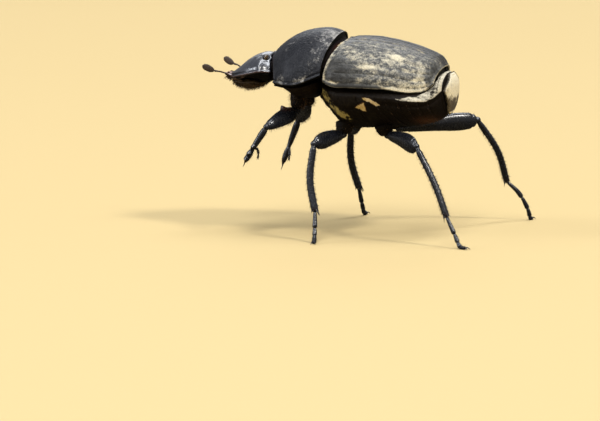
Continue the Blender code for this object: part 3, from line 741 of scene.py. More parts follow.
def head():
    s, t = bunched(96, 190, 0.012, 0.985, 0.985)
    p = head_at(s, t)
    x, y = p[..., 0], np.abs(p[..., 1])
    front, _, left, right = margins(p)
    rim = np.minimum.reduce((front, left, right))
    # the margin turns up in front; a slanting seam parts cheek from brow, and a faint arch
    # runs across between them
    lift = ramp(s, 0.75, 0.2)
    seam = y - lerp(2.35, 1.05, ramp(s, 0.42, 0.80))
    arch = s - 0.63 + 0.05 * y ** 2
    socket = np.sqrt(((x - EYE[0]) / 0.26) ** 2 + ((y - 1.29) / 0.40) ** 2)
    # the cheek swells in front of the eye and falls away behind
    cheek = ramp(y, 0.55, 1.2) * (0.045 * bell(s, 0.72, 0.16) - 0.08 * ramp(s, 0.78, 0.96))
    uneven = (0.006 * noise(p, 0.6, 41, 2) - 0.006 * grains(p, 0.15, 43) * ramp(s, 1.0, 0.4)
              + 0.002 * noise(p, 0.06, 44))
    height = ((0.05 + 0.05 * lift) * bell(rim, 0.05, 0.08)
              - (0.03 + 0.06 * lift) * bell(rim, 0.24, 0.13)
              - 0.040 * bell(seam, 0, 0.05) * ramp(s, 0.40, 0.5) * ramp(s, 0.86, 0.78)
              + 0.028 * bell(seam, 0.12, 0.09) * ramp(s, 0.42, 0.55)
              - 0.022 * bell(arch, 0, 0.014) * ramp(y, 1.15, 0.9)
              + 0.025 * bell(socket, 1.10, 0.25) - 0.10 * ramp(socket, 0.95, 0.5)
              + cheek + uneven * ramp(rim, 0.1, 0.3))
    tooth = bell(np.abs(t), 0.55, 0.30) * ramp(s, 0.10, 0.0)
    q = raised(p, height) + vec(-0.12 * tooth, 0, 0.06 * tooth)
    lower = beneath(head_at, lambda s, t: lerp(HEAD_UNDER(s), HEAD_SIDE(s) - 0.24, t ** 4))
    dust_and_painted_light = 0.10 * ramp(s, 0.2, 0.0) + 0.22 * bell(socket, 1.15, 0.2) + 0.12 * bell(seam, 0, 0.08)
    solid("head_shield", [shell(q, s, t, 0.10, lower)], "head", "head", dust_and_painted_light=dust_and_painted_light,
          tint=0.9 * ramp(q[..., 0], -8.95, -9.40) + 0.25 * bell(rim, 0, 0.07),
          rest=-0.3, lined=True)
    for tag, side in SIDES:
        eye = ball(np.multiply(EYE, (1, side, 1)), (0.16, 0.33, 0.24), 22, 30)
        solid(f"eye_{tag}_lens", [eye], "eye", f"eye_{tag}")


def waist():
    """The soft skin and the front of the wing-bearing ring that show behind the pronotum."""
    def at(s, t, drop):
        x = lerp(pronotum_at(1, t)[..., 0] - 0.22, elytra_at(0, t)[..., 0] + 0.22, s)
        top = lerp(13.30, 12.93, s)
        return vec(x, 3.60 * t, 10.60 + dome(top - 10.60 - drop, t, 2.2, 1.8))
    s, t = bunched(34, 170, 0, 1, 1)
    t = 0.96 * t
    p = at(s, t, 0.26 + 0.30 * np.abs(2 * s - 1) ** 5 + 0.12 * bell(s, 0.36, 0.10))
    p = raised(p, 0.035 * noise(p, 0.22, 51, 2) + 0.02 * np.sin(60 * t) * bell(s, 0.62, 0.12))
    a = np.abs(t)
    # the pale spot on the skin is a painted glint
    solid("waist_skin", [shell(p, s, t, 0.05, lambda s, t: at(s, t, 0.9))], "membrane",
          "waist_membrane", dust_and_painted_light=1.25 * bell(s, 0.56, 0.08) * bell(a, 0.40, 0.16) - 0.3,
          tint=0.5 * bell(s, 0.5, 0.14) * bell(a, 0.50, 0.14))


def neck():
    """The short dark collar that carries the head under the front of the pronotum."""
    rod = Rod([(-6.95, 0, 10.72), (-6.20, 0, 10.78), (-5.40, 0, 10.75)], flat(1.75),
              depth=flat(0.80), edge=(0, 1, 0))
    solid("neck_collar", [rod.mesh(16, 48, 0.05, roughen=0.01)], "membrane", rest=-0.3)


# ---- Mouth and feelers ----------------------------------------------------------------------

# Root, share and growth of the thickness, mesh, and each joint's step and thickness
PALPS = (((-8.20, 0.95, 9.66), 0.75, 0.40, (10, 12, 0.25),
          (((-0.16, 0.14, -0.06), 0.085), ((-0.20, 0.05, 0.02), 0.080),
           ((-0.22, -0.04, 0.08), 0.070))),
         ((-8.75, 0.32, 9.66), 0.80, 0.35, (8, 10, 0.3),
          (((-0.11, 0.10, -0.05), 0.06), ((-0.12, 0.02, 0.03), 0.06))))


def mouth():
    """Lobed chin plate, jaw bases and short palps under the shield, with stiff bristles."""
    half = profile((0, 0.45), (0.15, 0.95), (0.5, 1.36), (0.85, 1.32), (1, 1.0))
    low = profile((0, 9.74), (0.2, 9.48), (0.5, 9.32), (0.8, 9.47), (1, 9.68))

    def at(s, angle):
        x = lerp(-9.20, -6.82, s)
        top = HEAD_UNDER((x - HEAD_FRONT) / (HEAD_REAR - HEAD_FRONT)) + 0.05
        mid = lerp(low(s), top, 0.6)
        rise = np.where(np.sin(angle) > 0, top - mid, mid - low(s))
        lobes = 1 + 0.07 * np.cos(2 * angle + pi) * ramp(s, 0, 0.5) * ramp(s, 1, 0.7)
        return vec(x, half(s) * np.cos(angle) * lobes, mid + rise * np.sin(angle) * lobes)
    s, a, p, n = rings_of(at, 44, 72)
    cuts = sum(bell(s, k, 0.025) for k in (0.22, 0.48, 0.74))
    relief = -0.07 * cuts * ramp(np.sin(a), 0.2, -0.2) - 0.05 * bell(p[..., 1], 0, 0.08)
    p = p + n * (relief + 0.03 * noise(p, 0.22, 61, 2) - 0.02)[..., None]
    parts = [barrel(p)]
    for _, side in SIDES:
        flip = (1, side, 1)
        for start, share, growth, detail, joints in PALPS:
            root = np.multiply(start, flip)
            for step, r in joints:
                tip = root + np.multiply(step, flip)
                joint = Rod([root, (root + tip) / 2, tip], lambda u: r * (share + growth * u))
                parts.append(joint.mesh(*detail))
                root = tip
    solid("mouth_plates", parts, "mouth", "mouthparts", tint=np.full(s.shape, 0.05),
          dust_and_painted_light=0.5 * bell(p[..., 0], -8.0, 0.35) * bell(p[..., 2], 9.95, 0.15))
    count = 900
    s, a = rng.uniform(0.02, 0.98, count), -rng.uniform(0.06, 0.94, count) * pi
    hairs("mouth_bristles", "mouth", at(s, a), vec(-0.45, np.cos(a), np.sin(a) - 0.15),
          np.stack([s, -a / pi], -1), (-0.3, 0, -0.6), rng.uniform(0.07, 0.18, count), 0.009,
          seed=3)
    # a fringe under the shield's front margin
    count = 420
    t = np.sin(rng.uniform(-0.5, 0.5, count) * pi * 0.9)
    s = rng.uniform(0.0, 0.04, count)
    s = s + 0.5 * rng.uniform(0, 1, count) ** 2 * (rng.random(count) < .5)
    edge = head_at(s, np.sign(t) * (1 - 0.02 * rng.random(count))) - (0, 0, 0.16)
    first = rng.random(count) < 0.5
    edge[first] = head_at(0.01 + 0 * t, t)[first] - (0, 0, 0.14)
    out = vec(-0.8, 0.5 * np.sign(edge[:, 1]), -0.5 - 0.2 * rng.random(count))
    hairs("shield_fringe", "head", edge, out, np.stack([s, (t + 1) / 2], -1), (-0.6, 0, -0.2),
          rng.uniform(0.06, 0.16, count) * np.where(first, 1.7, 1), 0.008, seed=4)


def feelers():
    def thin(u):
        # one long joint, then seven beads that widen a little towards the club
        beads = 0.5 - 0.5 * np.cos(2 * pi * 7 * np.clip((u - 0.42) / 0.58, 0, 1))
        return lerp(0.085, 0.046, ramp(u, 0.0, 0.42)) + 0.012 * beads + 0.018 * ramp(u, 0.8, 1.0)
    wide = profile((0, 0.03), (0.12, 0.12), (0.4, 0.205), (0.7, 0.215), (0.9, 0.15), (1, 0.04))
    for tag, side in SIDES:
        flip = (1, side, 1)
        rod = Rod(np.multiply([(-8.30, 1.15, 9.95), (-8.75, 1.45, 10.14), (-9.15, 1.95, 10.47),
                               (-9.50, 2.30, 10.64), (-9.86, 2.51, 10.71)], flip), thin)
        solid(f"antenna_stalk_{tag}_joints", [rod.mesh(90, 14, 0.03)], "feeler",
              f"antenna_stalk_{tag}")
        club = np.multiply([(-9.84, 2.51, 10.70), (-10.20, 2.64, 10.86), (-10.60, 2.79, 11.09)],
                           flip)
        parts, tufts = [], []
        for k in (-1, 0, 1):
            fan = [(0, 0.085 * k * f, 0) for f in (0.2, 1, 1)]
            leaf = Rod(club + fan, lambda u: wide(u) * (1 - 0.06 * abs(k)), edge=(0.3, 0, 1),
                       depth=lambda u: 0.048 + 0.012 * np.sin(pi * np.clip(u, 0, 1)))
            parts.append(leaf.mesh(30, 20, 0.10, roughen=0.010))
            tufts.append(leaf.roots(rng.uniform(0.08, 0.98, 70), rng.uniform(0, 2 * pi, 70)))
        solid(f"antenna_club_{tag}_leaves", parts, "feeler", f"antenna_club_{tag}")
        scattered(f"antenna_down_{tag}", "feeler", tufts, (-0.9, side * 0.3, 0.4), 0.05, 0.005,
                  curl=0.6, seed=5)


# ---- Trunk ----------------------------------------------------------------------------------

PTERO_HALF = profile((0, 2.9), (0.08, 3.35), (0.2, 3.72), (0.35, 3.96), (0.6, 4.05), (1, 4.08))
PTERO_LEVEL = profile((0, 9.78), (0.1, 9.74), (0.25, 9.5), (0.4, 9.36), (1, 9.36))
PTERO_LOW = profile((0, 8.90), (0.1, 8.40), (0.22, 7.62), (0.36, 7.02), (0.5, 6.90), (0.8, 6.94),
                    (1, 7.04))
ABD_HALF = profile((0, 4.08), (0.35, 4.12), (0.6, 3.98), (0.8, 3.60), (0.93, 2.96), (1, 2.36))
ABD_RIDGE = profile((0, 9.36), (0.3, 9.28), (0.6, 9.14), (0.8, 9.12), (0.9, 9.28), (0.96, 9.52),
                    (1, 9.74))
ABD_LOW = profile((0, 7.04), (0.3, 7.08), (0.6, 7.24), (0.85, 7.55), (1, 7.92))
ABD_END = 5.60
STERNITES = (0.14, 0.30, 0.46, 0.60, 0.73, 0.86)
FLANK_BAND = profile((-2.70, 9.86), (-1.80, 8.86), (-1.06, 8.05), (-0.36, 7.72))


def section(x, angle, half, level, top, low):
    c, d = np.cos(angle), np.sin(angle)
    return vec(x, half * c * np.abs(c) ** 0.05,
               level + np.where(d > 0, top - level, level - low) * d)


def steepened(p, angle, half, blunt, amount=1.0):
    """Above its ridge a section's side stands steeply, up to under the wing cases."""
    c = np.cos(angle)
    full = np.sign(c) * np.abs(c) ** blunt * half
    p[..., 1] = lerp(p[..., 1], full, ramp(np.sin(angle), 0.0, 0.3) * amount)
    return p


def under_wings(x):
    return np.where(x > 0, ELY_SIDE((x - ELY_FRONT) / (ELY_REAR - ELY_FRONT)) + 0.12, 10.22)


def trunk_split(angle):
    """Where the chest ends and the abdomen starts."""
    return 0.77 + 1.45 * np.maximum(0.0, -np.sin(angle)) ** 1.2


def patches(x, z):
    """The two pale spots on the flank, either side of the slanting hip plate's seam."""
    rough = 0.09 * noise(vec(x, 0, z), 0.22, 84, 3)
    wedge = np.minimum(0.42 * x - np.abs(z - 8.66 - 0.12 * (x - 0.4)),
                       0.78 - x - 0.25 * (z - 8.65))
    along = x - 1.18
    stripe = 0.13 - np.abs(z - 9.08 + 0.42 * along) - 0.5 * np.maximum(0, np.abs(along) - 0.38)
    return 1.15 * ramp(np.maximum(wedge, stripe) + rough, -0.07, 0.07)


def prothorax():
    half = profile((0, 2.6), (0.2, 3.25), (0.45, 3.75), (0.7, 3.85), (0.9, 3.5), (1, 2.9))
    low = profile((0, 9.84), (0.2, 9.72), (0.36, 9.25), (0.55, 8.86), (0.85, 8.84), (1, 8.98))

    def at(s, angle):
        x = lerp(-5.75, -3.20 + 0.60 * np.cos(angle) ** 2, s)
        side = PRON_SIDE((x - PRON_FRONT) / (PRON_REAR - PRON_FRONT)) - 0.34
        return section(x, angle, half(s), side, side + 0.42, low(s))
    s, a, p, n = rings_of(at, 54, 120)
    x, y, z = np.moveaxis(p, -1, 0)
    below = ramp(np.sin(a), 0.1, -0.2)
    # the breast's keel, the hollows where the forelegs lie, and a seam along each flank
    y = np.abs(y)
    relief = (0.05 * bell(y, 0, 0.30) - 0.05 * bell(y, lerp(2.6, 3.3, s), 0.05)
              - 0.10 * bell(x, -5.15, 0.35) * bell(y, 2.2, 0.7))
    relief = below * relief + 0.02 * noise(p, 0.4, 71, 2) - 0.012 * grains(p, 0.2, 72) - 0.02
    solid("breast_front", [barrel(p + n * relief[..., None])], "underside", "prothorax",
          dust_and_painted_light=0.22 * bell(z, 10.0, 0.15) + 0.10 * below - 0.1, tint=np.full(s.shape, 0.03))
    count = 420
    side = np.where(rng.random(count) < 0.5, -1, 1)
    x, y = rng.uniform(-5.6, -4.2, count), side * rng.uniform(0.3, 2.2, count)
    z = 9.9 - 0.55 * ramp(x, -5.5, -4.6) - 0.25 * ramp(x, -4.8, -4.2)
    hairs("breast_hair", "underside", vec(x, y, z), vec(-0.5, 0.2 * side, -0.9),
          np.stack([(x + 5.6) / 1.4, (y + 2.2) / 4.4], -1), (-0.2, 0, -1),
          rng.uniform(0.12, 0.28, count), 0.007, seed=6)


def pterothorax():
    def at(s, angle):
        front = np.where(np.sin(angle) > 0, -2.38, -3.10 + 0.72 * np.cos(angle) ** 2)
        x = lerp(front, trunk_split(angle), s)
        p = section(x, angle, PTERO_HALF(s), PTERO_LEVEL(s), under_wings(x), PTERO_LOW(s))
        return steepened(p, angle, PTERO_HALF(s), 0.60, ramp(s, 0.05, 0.25))
    s, a, p, n = rings_of(at, 96, 180)
    x, y, z = np.moveaxis(p, -1, 0)
    below = ramp(np.sin(a), 0.1, -0.1)
    low = np.arcsin(np.clip(-np.sin(a), 0, 1)) / (pi / 2)      # 0 at the flank, 1 under the belly
    # seams: front collar, side plates, the slanting hip plate, and the middle line
    relief = (rolls(s - 0.12 - 0.05 * low, (-0.06, 0, 0.012), (0.05, -0.05, 0.03))
              - 0.05 * bell(low - lerp(0.26, 0.20, s), 0, 0.020) * ramp(s, 0.12, 0.2)
              + rolls(s - 0.80 + 0.10 * low, (-0.07, 0, 0.012), (0.05, 0.07, 0.05))
              - 0.035 * bell(y, 0, 0.05) * ramp(s, 0.3, 0.5) - 0.04 * bell(s, 0.985, 0.02))
    relief = below * relief + 0.03 * noise(p, 0.6, 81, 2) - 0.014 * grains(p, 0.22, 82) - 0.03
    band = (bell(z - FLANK_BAND(x), 0.06, 0.42) * ramp(x, -0.1, -0.6)
            * (1.04 + 1.3 * noise(p, 0.20, 85, 3)))
    collar = 0.34 * bell(x, -1.95, 0.45) * bell(z, 9.75, 0.40)
    spots = patches(x, z)
    solid("breast_rear", [barrel(p + n * relief[..., None])], "flank", "pterothorax",
          dust_and_painted_light=(band + collar + spots) * below + 0.24 * noise(p, 0.30, 83, 2) - 0.06,
          tint=0.02 + 0.8 * ramp(spots, 0.5, 1.1) * below, slot="underside")
    count = 320
    pick = rng.integers(0, p.shape[0] // 3, count), rng.integers(0, p.shape[1], count)
    s, a, p, n = (v[pick][np.sin(a[pick]) < -0.15] for v in (s, a, p, n))
    hairs("breast_down", "underside", p, n, unwrapped(s, a), (0.6, 0, -0.4), 0.13, 0.006,
          curl=0.6, seed=8)


def abdomen():
    """Its rings go on past 1, shrinking, and so close the rear with a low dome."""
    rows = np.concatenate([np.linspace(0, 1, 118), np.linspace(1.07, 1.97, 14)])

    def ring(s):
        return np.interp(s, np.linspace(0, 1, len(rows)), rows)

    def at(s, angle):
        turn = np.clip(ring(s) - 1, 0, 1) * pi / 2
        q = np.minimum(ring(s), 1)
        x = lerp(trunk_split(angle), ABD_END, q)
        shrink = np.cos(turn) * (1 - 0.03 * ramp(q, 0.985, 1.0))
        half, level = ABD_HALF(q) * shrink, ABD_RIDGE(q)
        # the back lies under the wing cases, then rises to show behind them
        back = lerp(under_wings(x), 10.82, ramp(x, 4.70, 5.40))
        p = section(x + 0.22 * np.sin(turn), angle, half, level,
                    level + (back - level) * shrink, level - (level - ABD_LOW(q)) * shrink)
        return steepened(p, angle, half * (1 - 0.04 * np.abs(np.sin(angle))),
                         lerp(0.45, 0.85, ramp(q, 0.75, 1.0)))
    s, a, p, n = rings_of(at, len(rows) - 1, 180)
    q, d = ring(s), np.sin(a)
    x, z = p[..., 0], p[..., 2]
    below, above = ramp(d, 0.12, -0.06), ramp(d, 0.02, 0.2)
    seams = sum(rolls(q - place - 0.02 * d ** 2, (-0.055, 0, 0.009), (0.022, -0.020, 0.018))
                for place in STERNITES)
    # the side margin stands out as a ridge, notched at each plate
    relief = (seams * below + 0.06 * bell(d, 0.04, 0.16) * ramp(q, 0.05, 0.2) * ramp(q, 1.0, 0.9)
              - 0.07 * bell(d, -0.20, 0.07) * ramp(q, 0.1, 0.25))
    # two back plates end behind the wing cases, each with a groove before it
    relief = (relief * ramp(q, 1.0, 0.96) + 0.018 * noise(p, 0.45, 91, 2)
              - 0.010 * grains(p, 0.2, 92) - 0.03
              - above * (0.03 * bell(x, 5.28, 0.035) + 0.03 * bell(q, 1.0, 0.01)))
    # a cream band follows the ridge and climbs over the last back plates: dust, and painted light
    # on the ledge that faces up
    ridge = z - ABD_RIDGE(np.minimum(q, 1))
    reach = 0.12 + 0.20 * ramp(x, 2.8, 3.8) + 0.30 * ramp(x, 4.0, 4.7) + 2.0 * ramp(x, 4.6, 5.2)
    band = (ramp(ridge - 0.10 * ramp(x, 3.4, 2.5), -0.06, 0.03) * ramp(ridge - reach, 0.06, -0.06)
            * ramp(x, 2.3, 2.9))
    grooves = ramp(x, 4.7, 5.1) * above * rolls(x, (0.26, 5.12, 0.12), (0.30, 5.36, 0.06))
    spots = patches(x, z)
    dust_and_painted_light = (band - grooves + 0.34 * noise(p * (0.4, 1, 1), 0.25, 93, 2)
            - 1.2 * ramp(q, 1.02, 1.06) + (spots + 0.06 * bell(x, 4.8, 0.8)) * below - 0.05)
    # a reddish patch low on the belly's rear is a painted glint
    tint = np.maximum(0.30 * bell(x, 4.6, 0.7) * bell(z, 7.6, 0.4) + 0.02,
                      0.8 * ramp(spots, 0.5, 1.1) * below)
    solid("belly_plates", [barrel(p + n * relief[..., None])], "underside", "abdomen",
          dust_and_painted_light=dust_and_painted_light, tint=tint)
    # one row of short hairs along the rear of each belly plate
    tufts = []
    for place in STERNITES:
        row = int(np.searchsorted(rows, place - 0.03))
        pick = rng.integers(0, 180, 70)
        pick = pick[d[row][pick] < -0.1]
        tufts.append((p[row][pick], n[row][pick], unwrapped(s[row][pick], a[row][pick])))
    scattered("belly_hair", "underside", tufts, (1, 0, -0.3), 0.10, 0.006, curl=0.9, seed=9)


def pygidium():
    """A rounded triangle, widest above, that bulges to the rear out of the last ring."""
    middle, top, low = 9.74, 10.72, 8.00
    half = profile((0, 0.40), (0.08, 0.82), (0.2, 1.20), (0.4, 1.68), (0.55, 2.02), (0.62, 2.12),
                   (0.7, 2.02), (0.82, 1.48), (0.93, 0.98), (1, 0.62))

    def face(s, t, depth):
        y, z = half(s) * t, lerp(low, top, s)
        tall = np.where(z > middle, 10.90 - middle, middle - 7.86)
        r2 = np.clip((y / 2.42) ** 2 + ((z - middle) / tall) ** 2, 0, 1)
        return vec(ABD_END - depth + 0.50 * (1 - r2) ** 0.7, y, z)
    s, t = bunched(96, 120, 0, 1, 0.98)
    p = face(s, t, -0.02)
    z = p[..., 2]
    rim = np.minimum.reduce(margins(p))
    height = (rolls(rim, (-0.05, 0.0, 0.05), (0.02, 0.10, 0.05), (-0.02, 0.20, 0.05))
              + ramp(rim, 0.15, 0.3) * (0.020 * noise(p, 0.5, 101, 2)
                                        - 0.024 * grains(p, 0.16, 102, 0.42, 0.12)))
    # cream above, partly dust and partly painted light from above, bare and punctured below,
    # with a pale lower rim
    dust_and_painted_light = (0.50 * ramp(z, 8.95, 9.55) - 0.30 * bell(z, 8.60, 0.35) + 0.45 * ramp(z, 8.22, 8.05)
            + 0.30 * noise(p, 0.30, 103, 2) + 0.10 * bell(rim, 0.05, 0.06))
    p = p + outward(p, 0) * height[..., None]
    solid("rear_plate", [shell(p, s, t, 0.04, lambda s, t: face(s, t, 0.14))], "pygidium",
          "pygidium", dust_and_painted_light=dust_and_painted_light)


# ---- Legs -----------------------------------------------------------------------------------

# Half widths of a femur from hip to knee, as shares of its widest
FEMUR_MID = ((0, 0.40), (0.12, 0.62), (0.4, 0.88), (0.68, 1), (0.86, 0.82), (0.96, 0.52),
             (1, 0.30))
FEMUR_FORE = ((0, 0.42), (0.12, 0.72), (0.32, 1), (0.55, 0.94), (0.78, 0.74), (0.93, 0.55),
              (1, 0.32))
FEMUR_HIND = ((0, 0.36), (0.15, 0.55), (0.45, 0.80), (0.76, 1), (0.90, 0.90), (0.97, 0.62),
              (1, 0.38))


def away(a, b, gap):
    """A point that lies a gap from a on the way to b."""
    return a + unit(b - a) * gap


def coxa(name, top, end, radius, hairy):
    width = profile((0, 0.70 * radius), (0.25, radius), (0.7, 0.9 * radius), (1, 0.55 * radius))

    def seams(u, a):
        return -0.05 * bell(u, 0.62, 0.04) - 0.03 * bell(np.cos(a - 1), 0, 0.1)
    rod = Rod([top, (top + end) / 2, end], lambda u: width(u) * 0.98, edge=(1, 0, 0),
              relief=seams)
    rings, sides = 34, 36
    solid(name + "_ball", [rod.mesh(rings, sides, 0.16, roughen=0.02)], "underside", name,
          tint=np.full((rings + 1) * sides, 0.02))
    u, a = rng.uniform(0.25, 0.98, hairy), rng.uniform(0, 2 * pi, hairy)
    hairs(name + "_hair", "underside", *rod.roots(u, a), (-0.3, 0, -0.9),
          rng.uniform(0.10, 0.24, hairy), 0.007, seed=12)


def fringe(name, rod, count, angles, length, lie):
    """Hairs along a shaft, in the given sectors of its section."""
    u = rng.uniform(0.08, 0.96, count)
    a = np.array(angles)[rng.integers(0, len(angles), count)] + rng.normal(0, 0.22, count)
    hairs(name, "leg", *rod.roots(u, a), lie, rng.uniform(0.6, 1.2, count) * length, 0.006,
          seed=15)


def femur(name, hip, knee, width, edge, shape, tooth=0.0, tint=0.0):
    """A flat club with a keel along each edge, a short trochanter at its root, and the ball
    of the knee at its end."""
    along = unit(knee - hip)
    half = profile(*((u, share * width) for u, share in shape))
    bow = unit(edge) * 0.015 * np.linalg.norm(knee - hip)

    def keels(u, a):
        return (0.035 * bell(np.abs(np.cos(a)), 1, 0.03) * ramp(u, 0.1, 0.3)
                - 0.05 * bell(np.sin(a), 1, 0.5) * bell(u, 0.6, 0.3)
                - 0.10 * bell(u, 0.93, 0.015) - 0.08 * bell(u, 0.10, 0.02))
    rod = Rod([hip, (hip + knee) / 2 + bow - along * 0.1, knee],
              lambda u: half(u) * 0.92 + tooth * bell(u, 0.36, 0.05), lambda u: half(u) * 0.98,
              profile((0, 0.20), (0.2, 0.32), (0.8, 0.31), (1, 0.18)), edge, keels)
    rings, sides = 84, 40
    parts = [rod.mesh(rings, sides, 0.05, roughen=0.004),
             ball(knee - along * 0.02, 0.225, 14, 18), ball(hip + along * 0.05, 0.27, 16, 20)]
    u, a = turns(rings, sides)
    solid(name + "_club", parts, "leg", name,
          dust_and_painted_light=0.10 * bell(u, 0.5, 0.4) * ramp(np.cos(a), 0, 1),
          tint=tint * bell(u, 0.36, 0.07) * ramp(np.cos(a), 0.2, 0.9))
    return rod


def tibia(name, knee, ankle, start, end, edge, bow=0.0, teeth=(), spines=0, spurs=1):
    """A three-edged shaft that widens to the foot, with notched edges, teeth on the outer edge
    of a digging leg, rows of short spines, and a spur at the tip."""
    knee = away(knee, ankle, 0.20)
    along = unit(ankle - knee)
    bend = unit(edge) * bow
    tooth_reach, tooth_half, notches, tip_at = 0.24, 0.065, 11, 0.97

    def inner(u):
        w = lerp(start, end, np.clip(u, 0, 1) ** 0.8) * lerp(0.80, 1.0, ramp(u, 0, 0.10))
        return w * (1 - 0.88 * ramp(u, 0.80, 1.02)) if teeth else w

    def outer(u):
        return inner(u) * 0.96 + sum(
            tooth_reach * np.maximum(0.0, 1 - np.abs(u - place) / tooth_half) for place in teeth)
    depth = profile((0, 0.17), (0.1, 0.22), (0.6, 0.22), (0.9, 0.25), (1, 0.20))
    if teeth:                  # a digging shin narrows, widens again and ends in a point
        depth = profile((0, 0.17), (0.12, 0.23), (0.4, 0.19), (0.56, 0.14), (0.72, 0.20),
                        (0.84, 0.18), (1, 0.03))

    def edges(u, a):
        notch = (0.5 + 0.5 * np.cos(2 * pi * notches * u)) * ramp(u, 0.12, 0.3)
        keel = bell(np.abs(np.cos(a)), 1, 0.05) * (0.04 + (0 if teeth else 0.07) * notch)
        line = rolls(np.sin(a), (-0.09, 0.75, 0.12), (-0.07, -0.6, 0.12))
        knee_groove = 0.10 * bell(u, 0.045, 0.012)
        return keel + line * ramp(u, 0.08, 0.2) * ramp(u, 0.98, 0.9) - knee_groove
    rod = Rod([knee - along * 0.16, (knee + ankle) / 2 + bend, ankle], outer, inner, depth, edge,
              edges, square=0.9)
    rings, sides = 120, 32
    parts = [rod.mesh(rings, sides, 0.035, roughen=0.004)]
    tangent, across, other = rod.axes(tip_at)
    foot = rod.centre(tip_at)
    for side in (1, -1)[:spurs]:
        root = foot - (across * 0.10 - other * 0.12 * side) * (0.2 if teeth else 1)
        parts.append(spike(root, root + tangent * 0.42 - across * 0.16, 0.055,
                           sag=across * -0.02, flatten=0.6))
    for a in () if teeth else np.linspace(0, 2 * pi, 9)[:-1] + 0.2:       # a crown of thorns
        root, reach = rod.at(0.975, a), rod.out(tip_at, a) * 0.05
        parts.append(spike(root, root + tangent * 0.13 + reach, 0.022, rings=4, sides=5))
    for k in range(spines):
        for a, reach in ((0.0, 0.07), (pi, 0.10), (pi * 0.55, 0.05), (-pi * 0.55, 0.05)):
            u = lerp(0.16, 0.94, (k + 0.5) / spines) + 0.4 / spines * (a % 1.0)
            root, out = rod.at(u, a), rod.out(u, a)
            tip = root + out * reach + rod.axes(u)[0] * 0.10
            parts.append(spike(root - out * 0.03, tip, 0.020, rings=4, sides=5))
    u, a = turns(rings, sides)
    solid(name + "_shaft", parts, "leg", name,
          dust_and_painted_light=0.26 * bell(u, 0.45, 0.35) * ramp(np.sin(a + 0.5), -0.2, 0.8),
          tint=0.35 * ramp(u, 0.80, 1.0) * (1.0 if teeth else 0.2))
    return rod


def tarsus(name, points, thick, shares, claw=0.34, floor=None, spread=(0, 1, 0)):
    """Five joints, each wider at its far end, with stiff hairs below, and a pair of claws."""
    base = Rod(points, flat(thick))
    cuts = np.concatenate([[0], np.cumsum(shares)]) / sum(shares)
    parts, tufts = [], []
    for k, (a, b) in enumerate(zip(cuts, cuts[1:])):
        grow = (0.60, 0.80) if k == len(shares) - 1 else (0.72, 1.12)
        seg = Rod(base.centre(np.linspace(a, b + 0.012, 4)),
                  lambda u: thick * lerp(*grow, u ** 0.8),
                  relief=lambda u, a: 0.08 * bell(np.abs(np.cos(a)), 1, 0.1) * u, floor=floor)
        parts.append(seg.mesh(16, 16, 0.14))
        u, turn = rng.uniform(0.3, 1, 14), rng.uniform(0, 2 * pi, 14)
        root, out, _ = seg.roots(u, turn)
        tufts.append((root, out + 0.8 * seg.axes(u)[0], unwrapped(lerp(a, b, u), turn)))
    tip, before = base.centre(np.array([1.0, 0.93]))
    ahead = unit(tip - before)
    steep = abs(ahead[2]) >= 0.8
    sideways = unit(spread if steep else np.cross(ahead, (0, 0, 1)))
    for side in (-1, 1):
        end = tip + ahead * claw + sideways * side * claw * 0.45
        if floor is not None:
            end[2] = 0.02
        parts.append(spike(tip + sideways * side * 0.02, end, thick * 0.34,
                           sag=(0, 0, 0.25 * claw), rings=8))
    solid(name + "_joints", parts, "leg", name)
    scattered(name + "_hair", "leg", tufts, ahead, 0.10, 0.006, seed=14)


# Each leg's joints: root, hip, knee, ankle and the rest of the foot
FORE = {"left": [(-4.40, -1.15, 9.55), (-4.42, -1.50, 8.08), (-5.86, -4.15, 7.22),
                 (-7.40, -4.05, 4.75)],
        "right": [(-4.40, 1.15, 9.55), (-4.42, 1.50, 8.05), (-5.70, 4.00, 6.85),
                  (-6.84, 3.95, 3.70)]}
MID = [(-1.05, 1.75, 7.55), (-1.15, 1.95, 6.64), (-2.36, 5.30, 6.32), (-2.02, 6.30, 1.95),
       (-1.93, 6.72, 0.98), (-1.86, 7.16, 0.22), (-1.80, 7.62, 0.12)]
HIND = {"left": [(1.40, -1.75, 7.55), (1.75, -1.45, 6.62), (4.70, -5.95, 6.42),
                 (6.98, -6.95, 1.95), (7.56, -7.30, 0.91), (7.98, -7.57, 0.16),
                 (8.36, -7.80, 0.11)],
        "right": [(1.50, 1.75, 7.55), (1.85, 1.45, 6.72), (6.62, 4.45, 7.10),
                  (8.16, 6.95, 2.62), (8.95, 7.12, 1.88), (9.48, 7.34, 0.88),
                  (9.66, 7.56, 0.14), (9.72, 7.78, 0.11)]}
FORE_FOOT = [(0, 0, 0), (0.16, -0.34, -0.08), (0.22, -0.52, -0.36), (0.18, -0.56, -0.72)]
FORE_FOOT_UP = 1.35        # how far above the tip of its shin a fore foot is set
SOLE = 0.012               # the lowest that a standing foot reaches


def leg(kind, tag, points, root_size, thigh, thigh_hair, shin, shin_hair):
    """A leg as far as its ankle. Gives the shin and the points of the foot."""
    top, hip, knee, ankle, *foot = np.array(points, float)
    coxa(f"{kind}_coxa_{tag}", top, hip, *root_size)
    rod = femur(f"{kind}_femur_{tag}", hip, knee, *thigh)
    fringe(f"{kind}_femur_hair_{tag}", rod, *thigh_hair)
    rod = tibia(f"{kind}_tibia_{tag}", knee, ankle, **shin)
    fringe(f"{kind}_tibia_hair_{tag}", rod, *shin_hair)
    return rod, [away(ankle, knee, 0.06), *foot]


